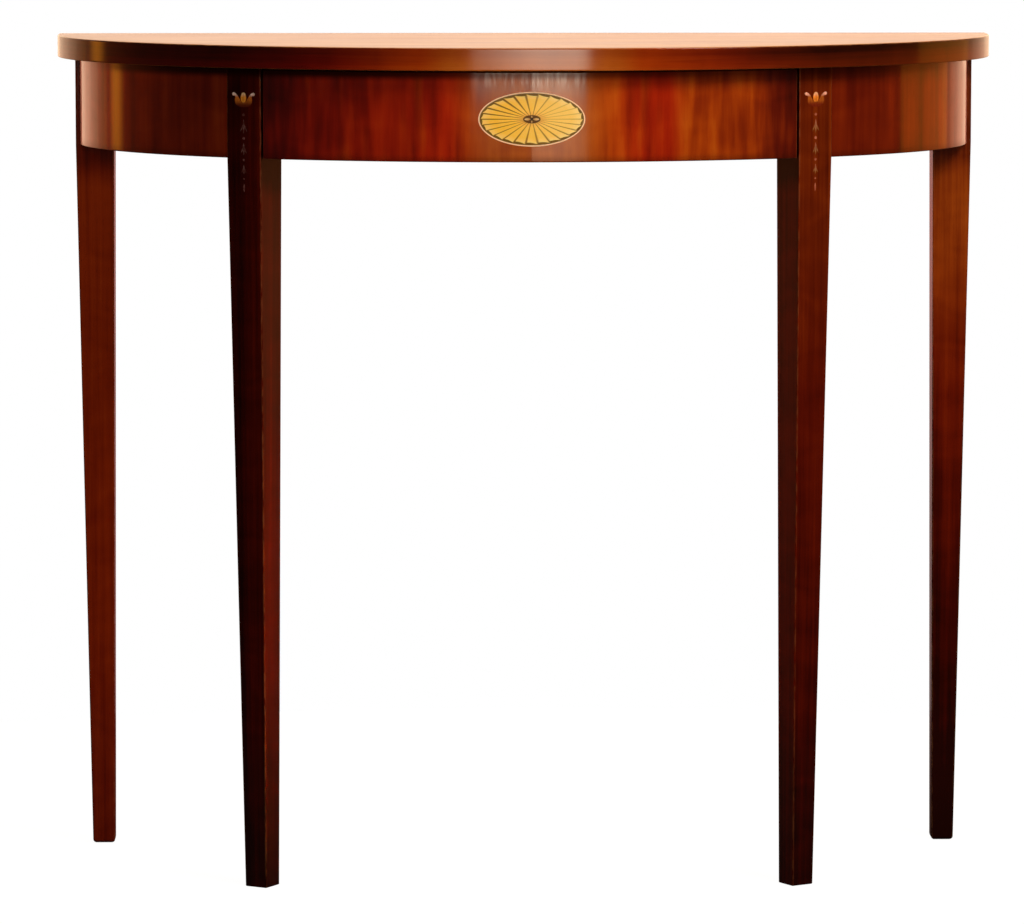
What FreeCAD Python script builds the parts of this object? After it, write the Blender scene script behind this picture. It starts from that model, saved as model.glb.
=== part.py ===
"""Half-oval (demilune) side table with a bow-fronted drawer.

Every piece is a solid of its own.  Millimetres; +X to the right, +Y to the back, +Z up.  The origin is on
the floor, under the middle of the top's outline.
"""
import FreeCAD, Part
import math
import os

Vector = FreeCAD.Vector

# ---------------------------------------------------------------- driving dimensions
TABLE_HEIGHT = 760.0
TOP_WIDTH = 866.0
TOP_DEPTH = 356.0
TOP_THICKNESS = 20.0
TOP_RETURN = 20.0            # straight stretch at each end of the top, before the half oval starts
TOP_EDGE_ROUND = 2.0         # rounding of the top's upper and lower edges

FRIEZE_SETBACK = 20.0        # overhang of the top over the frieze
FRIEZE_HEIGHT = 81.0
FRIEZE_THICKNESS = 20.0      # core and veneer together
VENEER_THICKNESS = 1.0

LEG_WIDTH = 35.5             # square section in the frieze
FRONT_FOOT_WIDTH = 22.3
BACK_FOOT_WIDTH = 20.5
FRONT_FOOT_IN = 4.0          # middle of a front foot, in towards the table's middle from the leg's top
BACK_FOOT_IN = 3.0
LEG_ARRIS = 0.8              # flat on the legs' long edges
FRONT_FOOT_EASE = 0.8
BACK_FOOT_EASE = 3.5
FRONT_LEG_X = 254.6          # where the front face of a front leg touches the frieze's curve
BACK_LEG_PROUD = 4.2         # how far a back leg's outer face stands outside the frieze's end
BACK_LEG_INSET = 8.0         # back face of the back legs, in from the top's back edge

BACK_RAIL_THICKNESS = 20.0
BACK_RAIL_INSET = 1.5        # back face of the rail, in from the back face of the back legs

TENON_LENGTH = 14.0
TENON_THICKNESS = 7.5
TENON_SHOULDER = 9.0         # shoulder above and below a frieze tenon
GLUE_GAP = 0.1               # room for glue on each side of a tenon, tongue or housing
MORTISE_SPARE = 1.0          # room past a tenon's end

FIXING_THICKNESS = 14.0      # upper tie rail, kickers and corner braces
RUNNER_THICKNESS = 12.0      # lower tie rail and runners
RUNNER_RAISE = 2.0           # underside of the runners above the frieze's lower edge
TIE_RAIL_TAIL = 12.0         # length of the dovetail or tenon on the tie rails
TIE_RAIL_TAIL_WIDTH = 8.0
TIE_RAIL_TAIL_SPLAY = 1.2    # how much the dovetail widens, each side
TIE_RAIL_GAP = 1.5           # from the back of the drawer front to the tie rails
TIE_RAIL_BEHIND = 12.0       # how far the tie rails run on behind the front legs
TONGUE_LENGTH = 6.0
TONGUE_THICKNESS = 4.0

DRAWER_GAP = 2.0             # between the drawer front and a leg
DRAWER_TOP_GAP = 1.8         # between the drawer front and the top
DRAWER_LEG_CLEARANCE = 1.5   # between a drawer side and the nearest corner of a leg
DRAWER_SIDE_THICKNESS = 9.0
DRAWER_BACK_THICKNESS = 9.0
DRAWER_BACK_DROP = 3.0       # drawer back below the top of the sides
DRAWER_BOTTOM_THICKNESS = 5.0
DRAWER_BOTTOM_RAISE = 6.5    # panel's underside above the lower edge of the sides
GROOVE_DEPTH = 4.0
HOUSING_DEPTH = 8.0          # drawer side let into the back of the drawer front
RUN_CLEARANCE = 0.2          # drawer side over its runner
KICK_CLEARANCE = 1.5         # drawer side under its kicker
GUIDE_CLEARANCE = 1.0
GUIDE_WIDTH = 14.0
GUIDE_HEIGHT = 18.0
RUNNER_INSIDE = 4.0          # runner's width on the inner side of the drawer side
STOP_LENGTH = 12.5
STOP_HEIGHT = 14.0
STOP_CLEARANCE = 0.3
TAIL_COUNT = 3               # dovetails at each back corner of the drawer
TAIL_SPLAY = 1.2
PIN_DIAMETER = 1.6           # pins that hold the drawer bottom up to the drawer back
PIN_LENGTH = 16.0
PIN_SPACING = 150.0

BRACE_REACH = 42.0           # corner brace along the back rail, from the leg
BRACE_FORWARD = 40.0         # corner brace along the frieze, from the leg
GLUE_BLOCK_WIDTH = 14.0
GLUE_BLOCK_SHORT = 10.0      # glue block's ends in from the frieze's edges

SCREW_DIAMETER = 4.0
SCREW_HEAD_DIAMETER = 8.0
SCREW_LENGTH = 26.0
SCREW_TIE_X = 120.0          # screws through the upper tie rail, from the middle
SCREW_KICKER_FORWARD = 30.0  # screws through the kickers, from the back rail
SCREW_BRACE_IN = 11.0        # screws through the braces, in from the leg's inner face
SCREW_BRACE_FORWARD = 9.0    # screws through the braces, forward of the leg's front face

FAN_WIDTH = 94.0
FAN_HEIGHT = 48.0
FAN_DROP = 43.0              # middle of the fan below the underside of the top
FAN_LINE = 1.1               # width of the pale border line
FAN_PETALS = 26
FAN_POINT_MARGIN = 1.2       # from the border line to the petals' long corners
FAN_SHORT_MARGIN = 3.4       # from the border line to the petals' short corners
FAN_EYE_WIDTH = 15.5
FAN_EYE_HEIGHT = 7.4
FAN_STAR_LEAF = 2.1          # width of a leaf of the star
FAN_STAR_PITCH = 0.9         # half width of the dark middle of the eye

INLAY_DEPTH = 1.0
TULIP_DROP = 35.5            # foot of the tulip below the underside of the top
TULIP_WIDTH = 24.0
TULIP_HEIGHT = 13.0
TULIP_BUD_WIDTH = 6.4
TULIP_BUD_HEIGHT = 10.5
CHAIN_START = 6.8            # from the tulip's foot to the first dot
CHAIN_DOT = 2.9
HUSK_LENGTHS = (13.0, 11.5, 9.0)
HUSK_PITCH = 7.8             # room that a dot takes between two husks
HUSK_LEAF = 2.6              # width of a husk's middle leaf
HUSK_SIDE_LEAF = 1.8
HUSK_SIDE_START = 0.28       # where the side leaves spring from the middle one, as a share of its length
HUSK_SIDE_LENGTH = 0.6       # length of the side leaves, as a share of the middle one's
HUSK_SPREAD = 29.0           # degrees between a husk's middle and side leaves
DROP_LENGTH = 8.0
DROP_WIDTH = 1.9

# ---------------------------------------------------------------- sizes that follow
TOP_BACK = TOP_DEPTH / 2
CURVE_Y = TOP_BACK - TOP_RETURN
FRIEZE_TOP = TABLE_HEIGHT - TOP_THICKNESS
FRIEZE_BOTTOM = FRIEZE_TOP - FRIEZE_HEIGHT
FRIEZE_INNER = FRIEZE_SETBACK + FRIEZE_THICKNESS
VENEER_INNER = FRIEZE_SETBACK + VENEER_THICKNESS
LEG_HALF = LEG_WIDTH / 2
RUNNER_BOTTOM = FRIEZE_BOTTOM + RUNNER_RAISE
RUNNER_TOP = RUNNER_BOTTOM + RUNNER_THICKNESS
FIXING_BOTTOM = FRIEZE_TOP - FIXING_THICKNESS
REACH = TOP_WIDTH + TOP_DEPTH        # longer than anything that a half space has to cut


# ---------------------------------------------------------------- plain solids
def box(x0, x1, y0, y1, z0, z1):
    """A block between two values on each axis."""
    return Part.makeBox(x1 - x0, y1 - y0, z1 - z0, Vector(x0, y0, z0))


def plan_prism(points, z0, z1):
    """A polygon of (x, y) points, stood up from z0 to z1."""
    corners = [Vector(x, y, z0) for x, y in points]
    face = Part.Face(Part.makePolygon(corners + corners[:1]))
    return face.extrude(Vector(0, 0, z1 - z0))


def front_prism(edges, y0, y1):
    """A closed outline of edges in a plane of constant Y, moved to y0 and carried back to y1."""
    face = Part.Face(Part.Wire(edges))
    face.translate(Vector(0, y0, 0))
    return face.extrude(Vector(0, y1 - y0, 0))


def mirrored(shape):
    """The same piece for the other side of the table."""
    return shape.mirror(Vector(0, 0, 0), Vector(1, 0, 0))


def joined(shapes):
    """One solid of pieces that touch, with no seams left."""
    return shapes[0].fuse(shapes[1:]).removeSplitter()


# ---------------------------------------------------------------- the curve of top and frieze
def curve_axes(inset):
    """Half width and depth of the half oval that lies inset from the top's edge."""
    return TOP_WIDTH / 2 - inset, TOP_DEPTH - TOP_RETURN - inset


def curve_y(inset, x):
    """Y of the curve in front, at x."""
    half_width, depth = curve_axes(inset)
    return CURVE_Y - depth * math.sqrt(1 - (x / half_width) ** 2)


def curve_x(inset, y):
    """X of the curve on the right, at y."""
    half_width, depth = curve_axes(inset)
    return half_width * math.sqrt(1 - (min(y - CURVE_Y, 0) / depth) ** 2)


def oval_arc(half_width, depth, z):
    """The front half of an oval, from its left end to its right end."""
    centre = Vector(0, CURVE_Y, z)
    right = centre + Vector(half_width, 0, 0)
    if half_width >= depth:
        oval = Part.Ellipse(right, centre + Vector(0, depth, 0), centre)
        return Part.ArcOfEllipse(oval, math.pi, 2 * math.pi).toShape()
    oval = Part.Ellipse(centre - Vector(0, depth, 0), right, centre)
    return Part.ArcOfEllipse(oval, -math.pi / 2, math.pi / 2).toShape()


def half_oval(inset, z0, z1):
    """A half oval with straight returns to the top's back edge, from z0 to z1."""
    half_width, depth = curve_axes(inset)
    outline = [Vector(half_width, CURVE_Y, z0), Vector(half_width, TOP_BACK, z0),
               Vector(-half_width, TOP_BACK, z0), Vector(-half_width, CURVE_Y, z0)]
    wire = Part.Wire([oval_arc(half_width, depth, z0)] + Part.makePolygon(outline).Edges)
    return Part.Face(wire).extrude(Vector(0, 0, z1 - z0))


def curved_band(outer_inset, inner_inset, z0, z1):
    """What lies between two of the table's half ovals."""
    return half_oval(outer_inset, z0, z1).cut(half_oval(inner_inset, z0, z1))


# ---------------------------------------------------------------- places of the legs
def leg_turn():
    """Degrees that the right front leg is turned, so that its face touches the curve."""
    half_width, depth = curve_axes(FRIEZE_SETBACK)
    rise = CURVE_Y - curve_y(FRIEZE_SETBACK, FRONT_LEG_X)
    return math.degrees(math.atan2(depth ** 2 * FRONT_LEG_X, half_width ** 2 * rise))


def front_leg_centre():
    """Middle of the right front leg in plan."""
    turn = math.radians(leg_turn())
    return (FRONT_LEG_X - LEG_HALF * math.sin(turn),
            curve_y(FRIEZE_SETBACK, FRONT_LEG_X) + LEG_HALF * math.cos(turn))


def at_front_leg(shape):
    """Carry a shape from the front leg's own frame (+X outward, -Y its face) to its place on the right."""
    placed = shape.copy()
    placed.rotate(Vector(0, 0, 0), Vector(0, 0, 1), leg_turn())
    x, y = front_leg_centre()
    placed.translate(Vector(x, y, 0))
    return placed


def front_leg_corner(x_sign, y_sign):
    """A corner of the right front leg's upper block in plan."""
    turn = math.radians(leg_turn())
    x, y = x_sign * LEG_HALF, y_sign * LEG_HALF
    centre_x, centre_y = front_leg_centre()
    return (centre_x + x * math.cos(turn) - y * math.sin(turn),
            centre_y + x * math.sin(turn) + y * math.cos(turn))


BACK_LEG_Y = TOP_BACK - BACK_LEG_INSET - LEG_HALF
BACK_LEG_FRONT = BACK_LEG_Y - LEG_HALF
BACK_LEG_X = curve_x(FRIEZE_SETBACK, BACK_LEG_FRONT) + BACK_LEG_PROUD - LEG_HALF
BACK_LEG_INNER = BACK_LEG_X - LEG_HALF
BACK_RAIL_BACK = BACK_LEG_Y + LEG_HALF - BACK_RAIL_INSET
BACK_RAIL_FRONT = BACK_RAIL_BACK - BACK_RAIL_THICKNESS

DRAWER_HALF = front_leg_corner(-1, 1)[0] - DRAWER_LEG_CLEARANCE
DRAWER_INNER = DRAWER_HALF - DRAWER_SIDE_THICKNESS
DRAWER_END = BACK_RAIL_FRONT - STOP_LENGTH - STOP_CLEARANCE
SIDE_BOTTOM = RUNNER_TOP + RUN_CLEARANCE
SIDE_TOP = FIXING_BOTTOM - KICK_CLEARANCE
PANEL_BOTTOM = SIDE_BOTTOM + DRAWER_BOTTOM_RAISE
PANEL_TOP = PANEL_BOTTOM + DRAWER_BOTTOM_THICKNESS
RUNNER_OUTER_X = DRAWER_HALF + GUIDE_CLEARANCE + GUIDE_WIDTH
RUNNER_INNER_X = DRAWER_INNER - RUNNER_INSIDE
TIE_RAIL_BACK = front_leg_corner(1, 1)[1] + TIE_RAIL_BEHIND


# ---------------------------------------------------------------- legs
def eased_square(width, z, shift):
    """The eight corners of a square about shift, whose own corners are cut off by the arris flat."""
    half = width / 2
    cut = half - LEG_ARRIS
    plan = [(cut, -half), (half, -cut), (half, cut), (cut, half),
            (-cut, half), (-half, cut), (-half, -cut), (-cut, -half)]
    return [Vector(x, y, z) + shift for x, y in plan]


def stacked_solid(sections):
    """A closed solid with flat sides through sections of equal corner counts, lowest first."""
    faces = [Part.Face(Part.makePolygon(s + s[:1])) for s in (sections[0], sections[-1])]
    for low, high in zip(sections, sections[1:]):
        for k in range(len(low)):
            j = (k + 1) % len(low)
            faces.append(Part.Face(Part.makePolygon([low[k], low[j], high[j], high[k], low[k]])))
    solid = Part.Solid(Part.Shell(faces))
    return solid if solid.Volume > 0 else solid.reversed()


def leg_blank(foot_width, foot_ease, foot_shift):
    """A leg in its own frame: square in the frieze, tapered below, its foot eased and moved by foot_shift."""
    taper = (LEG_WIDTH - foot_width) / FRIEZE_BOTTOM
    straight = Vector(0, 0, 0)
    return stacked_solid([eased_square(foot_width - 2 * foot_ease, 0, foot_shift),
                          eased_square(foot_width + taper * foot_ease, foot_ease,
                                       foot_shift * (1 - foot_ease / FRIEZE_BOTTOM)),
                          eased_square(LEG_WIDTH, FRIEZE_BOTTOM, straight),
                          eased_square(LEG_WIDTH, FRIEZE_TOP, straight)])


def front_leg_blank():
    """The right front leg in its own frame, before joints and inlay."""
    turn = math.radians(leg_turn())
    shift = Vector(-FRONT_FOOT_IN * math.cos(turn), FRONT_FOOT_IN * math.sin(turn), 0)
    return leg_blank(FRONT_FOOT_WIDTH, FRONT_FOOT_EASE, shift)


def frieze_tenon(gap):
    """Tenon of a side frieze in the front leg's frame, or with a gap its mortise."""
    middle = -LEG_HALF + (FRIEZE_THICKNESS + VENEER_THICKNESS) / 2
    half = TENON_THICKNESS / 2 + gap
    spare = MORTISE_SPARE if gap else 0
    return box(LEG_HALF - TENON_LENGTH - spare, LEG_HALF, middle - half, middle + half,
               FRIEZE_BOTTOM + TENON_SHOULDER - gap, FRIEZE_TOP - TENON_SHOULDER + gap)


def frieze_back_tenon(gap):
    """Tenon of a side frieze in the right back leg, at its place, or with a gap its mortise."""
    middle = curve_x(FRIEZE_SETBACK, BACK_LEG_FRONT) - (FRIEZE_THICKNESS + VENEER_THICKNESS) / 2
    half = TENON_THICKNESS / 2 + gap
    spare = MORTISE_SPARE if gap else 0
    return box(middle - half, middle + half, BACK_LEG_FRONT, BACK_LEG_FRONT + TENON_LENGTH + spare,
               FRIEZE_BOTTOM + TENON_SHOULDER - gap, FRIEZE_TOP - TENON_SHOULDER + gap)


def back_rail_tenon(gap):
    """Right tenon of the back rail at its place, or with a gap its mortise."""
    middle = (BACK_RAIL_BACK + BACK_RAIL_FRONT) / 2
    half = TENON_THICKNESS / 2 + gap
    spare = MORTISE_SPARE if gap else 0
    return box(BACK_LEG_INNER, BACK_LEG_INNER + TENON_LENGTH + spare, middle - half, middle + half,
               FRIEZE_BOTTOM + TENON_SHOULDER - gap, FRIEZE_TOP - TENON_SHOULDER + gap)


def tail_middle():
    """The point on the right leg's inner side where the tie rails' tails enter it."""
    corner_x, corner_y = front_leg_corner(-1, 1)
    back = (TIE_RAIL_TAIL_WIDTH / 2 + TIE_RAIL_TAIL_SPLAY) * math.cos(math.radians(leg_turn()))
    return corner_x + back * math.tan(math.radians(leg_turn())), corner_y - back


def upper_tail(gap):
    """Dovetail at the right end of the upper tie rail, let into the leg from above."""
    x, y = tail_middle()
    root = TIE_RAIL_TAIL_WIDTH / 2 + gap
    end = root + TIE_RAIL_TAIL_SPLAY
    far = x + TIE_RAIL_TAIL + gap
    points = [(x - LEG_HALF / 2, y - root), (x, y - root), (far, y - end),
              (far, y + end), (x, y + root), (x - LEG_HALF / 2, y + root)]
    return plan_prism(points, FIXING_BOTTOM - gap, FRIEZE_TOP)


def lower_tail(gap):
    """Stub tenon at the right end of the lower tie rail."""
    x, y = tail_middle()
    root = TIE_RAIL_TAIL_WIDTH / 2 + gap
    quarter = RUNNER_THICKNESS / 4
    return box(x - LEG_HALF / 2, x + TIE_RAIL_TAIL + gap, y - root, y + root,
               RUNNER_BOTTOM + quarter - gap, RUNNER_TOP - quarter + gap)


def front_leg():
    """The right front leg, with its mortises and the pockets of its inlay."""
    blank = front_leg_blank()
    pockets = [frieze_tenon(GLUE_GAP)] + leg_inlay_pieces(blank)
    leg = at_front_leg(blank.cut(pockets))
    return leg.cut([upper_tail(GLUE_GAP), lower_tail(GLUE_GAP)])


def back_leg():
    """The right back leg, with its two mortises."""
    leg = leg_blank(BACK_FOOT_WIDTH, BACK_FOOT_EASE, Vector(-BACK_FOOT_IN, 0, 0))
    leg.translate(Vector(BACK_LEG_X, BACK_LEG_Y, 0))
    return leg.cut([frieze_back_tenon(GLUE_GAP), back_rail_tenon(GLUE_GAP)])


# ---------------------------------------------------------------- inlay of the front legs
def leaf(foot, tip, width):
    """The two arcs of a pointed leaf from foot to tip, both (x, z)."""
    foot, tip = Vector(foot[0], 0, foot[1]), Vector(tip[0], 0, tip[1])
    middle = (foot + tip) * 0.5
    across = (tip - foot).cross(Vector(0, 1, 0)).normalize() * (width / 2)
    return [Part.Arc(foot, middle + across, tip).toShape(), Part.Arc(tip, middle - across, foot).toShape()]


def dot(x, z, diameter):
    """A round dot."""
    return [Part.makeCircle(diameter / 2, Vector(x, 0, z), Vector(0, 1, 0))]


def tulip_point(across, up):
    """A point of the tulip, as shares of its half width and of its height above its foot."""
    return Vector(across * TULIP_WIDTH / 2, 0, FRIEZE_TOP - TULIP_DROP + up * TULIP_HEIGHT)


def tulip_bud():
    """Outline of the tulip's upright bud, an oval that ends level with the petals' lips."""
    centre = tulip_point(0, 1) - Vector(0, 0, TULIP_BUD_HEIGHT / 2)
    side, top = Vector(TULIP_BUD_WIDTH / 2, 0, 0), Vector(0, 0, TULIP_BUD_HEIGHT / 2)
    long_axis, short_axis = (top, side) if TULIP_BUD_HEIGHT >= TULIP_BUD_WIDTH else (side, top)
    return [Part.Ellipse(centre + long_axis, centre + short_axis, centre).toShape()]


def tulip_side():
    """Outline of the tulip's right petal: half of a round bowl that curls out to a rounded lip."""
    root, lip_under, lip_over = tulip_point(0, 0), tulip_point(0.95, 0.79), tulip_point(0.86, 1)
    belly = [tulip_point(0.42, 0.09), tulip_point(0.64, 0.34), tulip_point(0.74, 0.64)]
    outer = Part.BSplineCurve()
    outer.interpolate([root] + belly + [lip_under])
    lip = Part.Arc(lip_under, tulip_point(1, 0.92), lip_over)
    crotch, middle = tulip_point(0.2, 0.45), tulip_point(0, 0.45)
    inner = Part.Arc(lip_over, tulip_point(0.59, 0.83), crotch)
    return [outer.toShape(), lip.toShape(), inner.toShape(), Part.makeLine(crotch, middle),
            Part.makeLine(middle, root)]


def husk(top, length):
    """Outlines of a hanging three-leaved husk, its side leaves springing from the middle one."""
    shapes = [leaf((0, top), (0, top - length), HUSK_LEAF)]
    reach = HUSK_SIDE_LENGTH * length
    for lean in (-math.radians(HUSK_SPREAD), math.radians(HUSK_SPREAD)):
        start = (0, top - HUSK_SIDE_START * length)
        tip = (reach * math.sin(lean), start[1] - reach * math.cos(lean))
        shapes.append(leaf(start, tip, HUSK_SIDE_LEAF))
    return shapes


def chain_outlines():
    """Outlines of the dots, husks and last drop that hang below the tulip."""
    z = FRIEZE_TOP - TULIP_DROP - CHAIN_START
    outlines = [dot(0, z, CHAIN_DOT)]
    z -= HUSK_PITCH / 2
    for length in HUSK_LENGTHS:
        outlines += husk(z, length)
        z -= length + HUSK_PITCH / 2
        outlines.append(dot(0, z, CHAIN_DOT * length / HUSK_LENGTHS[0]))
        z -= HUSK_PITCH / 2
    outlines.append(leaf((0, z), (0, z - DROP_LENGTH), DROP_WIDTH))
    return outlines


def inlay_solids(outlines, skin):
    """Outlines carried through a skin, as separate solids; a later one gives way to the earlier ones."""
    solids = []
    depth = skin.BoundBox
    for edges in outlines:
        piece = front_prism(edges, depth.YMin - INLAY_DEPTH, depth.YMax).common(skin)
        if solids:
            piece = piece.cut(solids)
        solids += piece.Solids
    return solids


def front_skin(blank):
    """The layer of a leg's front face that an inlay replaces."""
    deeper = blank.copy()
    deeper.translate(Vector(0, INLAY_DEPTH, 0))
    front = box(-LEG_HALF, LEG_HALF, -LEG_WIDTH, 0, FRIEZE_BOTTOM / 2, FRIEZE_TOP)
    return blank.cut(deeper).common(front)


def tulip_pieces(blank):
    """The tulip's bud and two petals in the leg's frame."""
    right = inlay_solids([tulip_bud(), tulip_side()], front_skin(blank))
    return right + [mirrored(piece) for piece in right[1:]]


def chain_pieces(blank):
    """The dots, husks and drop in the leg's frame."""
    return inlay_solids(chain_outlines(), front_skin(blank))


def leg_inlay_pieces(blank):
    """Everything that is let into a front leg's face."""
    return tulip_pieces(blank) + chain_pieces(blank)


def tulip_inlay():
    """The right leg's tulip at its place."""
    return at_front_leg(Part.makeCompound(tulip_pieces(front_leg_blank())))


def husk_inlay():
    """The right leg's husk chain at its place."""
    return at_front_leg(Part.makeCompound(chain_pieces(front_leg_blank())))


# ---------------------------------------------------------------- top and rails
def top_board():
    """The top, its upper and lower edges rounded, with the screws' pilot holes."""
    board = half_oval(0, FRIEZE_TOP, TABLE_HEIGHT)
    flat = [e for e in board.Edges if e.BoundBox.ZLength < TOP_THICKNESS / 2]
    return board.makeFillet(TOP_EDGE_ROUND, flat).cut(screws())


def frieze_region():
    """The space of the right side frieze, between the outer side of the front leg and the back leg."""
    beyond_leg = at_front_leg(box(LEG_HALF, REACH, -REACH, REACH, FRIEZE_BOTTOM, FRIEZE_TOP))
    return beyond_leg.common(box(0, REACH, -REACH, BACK_LEG_FRONT, FRIEZE_BOTTOM, FRIEZE_TOP))


def side_frieze():
    """Core of the right side frieze with a tenon at each end."""
    core = curved_band(VENEER_INNER, FRIEZE_INNER, FRIEZE_BOTTOM, FRIEZE_TOP).common(frieze_region())
    return joined([core, at_front_leg(frieze_tenon(0)), frieze_back_tenon(0)])


def side_veneer():
    """Veneer of the right side frieze."""
    return curved_band(FRIEZE_SETBACK, VENEER_INNER, FRIEZE_BOTTOM, FRIEZE_TOP).common(frieze_region())


def back_rail():
    """The straight rail between the back legs, with mortises for the runners and kickers."""
    rail = box(-BACK_LEG_INNER, BACK_LEG_INNER, BACK_RAIL_FRONT, BACK_RAIL_BACK, FRIEZE_BOTTOM, FRIEZE_TOP)
    rail = joined([rail, back_rail_tenon(0), mirrored(back_rail_tenon(0))])
    right = [tongue(BACK_RAIL_FRONT, 1, z, GLUE_GAP) for z in (RUNNER_BOTTOM, FIXING_BOTTOM)]
    return rail.cut(right + [mirrored(t) for t in right])


def tie_rail(tail, thickness, z0):
    """A rail between the front legs, behind the drawer front, its ends fitted round the legs."""
    front = drawer_front_rear() + TIE_RAIL_GAP
    board = box(-RUNNER_OUTER_X, RUNNER_OUTER_X, front, TIE_RAIL_BACK, z0, z0 + thickness)
    leg = at_front_leg(box(-LEG_HALF, REACH, -REACH, LEG_HALF, z0, z0 + thickness))
    board = board.cut([leg, mirrored(leg)])
    rail = joined([board, tail, mirrored(tail)])
    right = tongue(TIE_RAIL_BACK, -1, z0, GLUE_GAP)
    return rail.cut([right, mirrored(right)])


def upper_tie_rail():
    """The dovetailed rail under the top."""
    return tie_rail(upper_tail(0), FIXING_THICKNESS, FIXING_BOTTOM).cut(screws())


def lower_tie_rail():
    """The tenoned rail that the drawer runs over."""
    return tie_rail(lower_tail(0), RUNNER_THICKNESS, RUNNER_BOTTOM)


def tongue(face_y, direction, z0, gap):
    """Tongue of a right bearer that starts at face_y and points along direction, or with a gap its groove."""
    thickness = FIXING_THICKNESS if z0 == FIXING_BOTTOM else RUNNER_THICKNESS
    middle = z0 + thickness / 2
    far = face_y + direction * (TONGUE_LENGTH + gap)
    low, high = min(face_y, far), max(face_y, far)
    half = TONGUE_THICKNESS / 2 + gap
    side = TONGUE_THICKNESS - gap
    return box(RUNNER_INNER_X + side, RUNNER_OUTER_X - side, low, high, middle - half, middle + half)


def bearer(thickness, z0):
    """A right runner or kicker from the tie rail to the back rail, with a tongue at each end."""
    board = box(RUNNER_INNER_X, RUNNER_OUTER_X, TIE_RAIL_BACK, BACK_RAIL_FRONT, z0, z0 + thickness)
    return joined([board, tongue(TIE_RAIL_BACK, -1, z0, 0), tongue(BACK_RAIL_FRONT, 1, z0, 0)])


def drawer_runner():
    """The right runner."""
    return bearer(RUNNER_THICKNESS, RUNNER_BOTTOM)


def drawer_kicker():
    """The right kicker, which keeps the drawer from tipping."""
    return bearer(FIXING_THICKNESS, FIXING_BOTTOM).cut(screws())


def drawer_guide():
    """The right guide, on the runner beside the drawer."""
    return box(RUNNER_OUTER_X - GUIDE_WIDTH, RUNNER_OUTER_X, TIE_RAIL_BACK, BACK_RAIL_FRONT,
               RUNNER_TOP, RUNNER_TOP + GUIDE_HEIGHT)


def drawer_stop():
    """The right stop, on the runner against the back rail."""
    return box(RUNNER_INNER_X, DRAWER_HALF, BACK_RAIL_FRONT - STOP_LENGTH, BACK_RAIL_FRONT,
               RUNNER_TOP, RUNNER_TOP + STOP_HEIGHT)


def corner_brace():
    """The right brace under the top, between the back rail, the back leg and the side frieze."""
    points = [(BACK_LEG_INNER - BRACE_REACH, BACK_RAIL_FRONT), (BACK_LEG_INNER, BACK_RAIL_FRONT),
              (BACK_LEG_INNER, BACK_LEG_FRONT), (BACK_LEG_X + LEG_HALF, BACK_LEG_FRONT),
              (BACK_LEG_X + LEG_HALF, BACK_LEG_FRONT - BRACE_FORWARD)]
    brace = plan_prism(points, FIXING_BOTTOM, FRIEZE_TOP)
    return brace.common(half_oval(FRIEZE_INNER, FIXING_BOTTOM, FRIEZE_TOP)).cut(screws())


def leg_glue_block():
    """The right glue block, in the corner between the front leg and the side frieze."""
    z0, z1 = FRIEZE_BOTTOM + GLUE_BLOCK_SHORT, FRIEZE_TOP - GLUE_BLOCK_SHORT
    block = at_front_leg(box(LEG_HALF, LEG_HALF + GLUE_BLOCK_WIDTH, -LEG_HALF, LEG_HALF, z0, z1))
    return block.common(half_oval(FRIEZE_INNER, z0, z1))


def screw(x, y):
    """A countersunk wood screw, driven upwards from the underside of a fixing piece."""
    cone = (SCREW_HEAD_DIAMETER - SCREW_DIAMETER) / 2
    head = Part.makeCone(SCREW_HEAD_DIAMETER / 2, SCREW_DIAMETER / 2, cone, Vector(x, y, FIXING_BOTTOM))
    straight = SCREW_LENGTH - cone - SCREW_DIAMETER
    shank = Part.makeCylinder(SCREW_DIAMETER / 2, straight, Vector(x, y, FIXING_BOTTOM + cone))
    shank_end = Vector(x, y, FIXING_BOTTOM + cone + straight)
    point = Part.makeCone(SCREW_DIAMETER / 2, 0, SCREW_DIAMETER, shank_end)
    return head.fuse([shank, point]).removeSplitter()


def screws():
    """All the screws that hold the top."""
    tie_y = (drawer_front_rear() + TIE_RAIL_GAP + TIE_RAIL_BACK) / 2
    places = [(SCREW_TIE_X, tie_y),
              ((RUNNER_INNER_X + RUNNER_OUTER_X) / 2, BACK_RAIL_FRONT - SCREW_KICKER_FORWARD),
              (BACK_LEG_INNER - SCREW_BRACE_IN, BACK_LEG_FRONT - SCREW_BRACE_FORWARD)]
    return [screw(side * x, y) for x, y in places for side in (-1, 1)]


# ---------------------------------------------------------------- drawer
def drawer_region(z0, z1):
    """The space of the drawer front, between the inner sides of the front legs."""
    inside = at_front_leg(box(-REACH, -LEG_HALF - DRAWER_GAP, -REACH, REACH, z0, z1))
    return inside.common(mirrored(inside))


def drawer_band(outer_inset, inner_inset):
    """A curved layer of the drawer front."""
    z1 = FRIEZE_TOP - DRAWER_TOP_GAP
    band = curved_band(outer_inset, inner_inset, FRIEZE_BOTTOM, z1)
    front = box(-REACH, REACH, -REACH, front_leg_corner(1, 1)[1], FRIEZE_BOTTOM, z1)
    return band.common(drawer_region(FRIEZE_BOTTOM, z1)).common(front)


def drawer_front_rear():
    """Y of the drawer front's hindmost corner."""
    return max(v.Point.y for v in drawer_band(VENEER_INNER, FRIEZE_INNER).Vertexes)


def drawer_side_blank(gap):
    """The right drawer side with a square back end, or with a gap its housing in the drawer front."""
    front = curve_y(FRIEZE_INNER, (DRAWER_HALF + DRAWER_INNER) / 2) - HOUSING_DEPTH
    return box(DRAWER_INNER - gap, DRAWER_HALF + gap, front, DRAWER_END - DRAWER_BACK_THICKNESS,
               SIDE_BOTTOM - gap, SIDE_TOP + gap)


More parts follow.
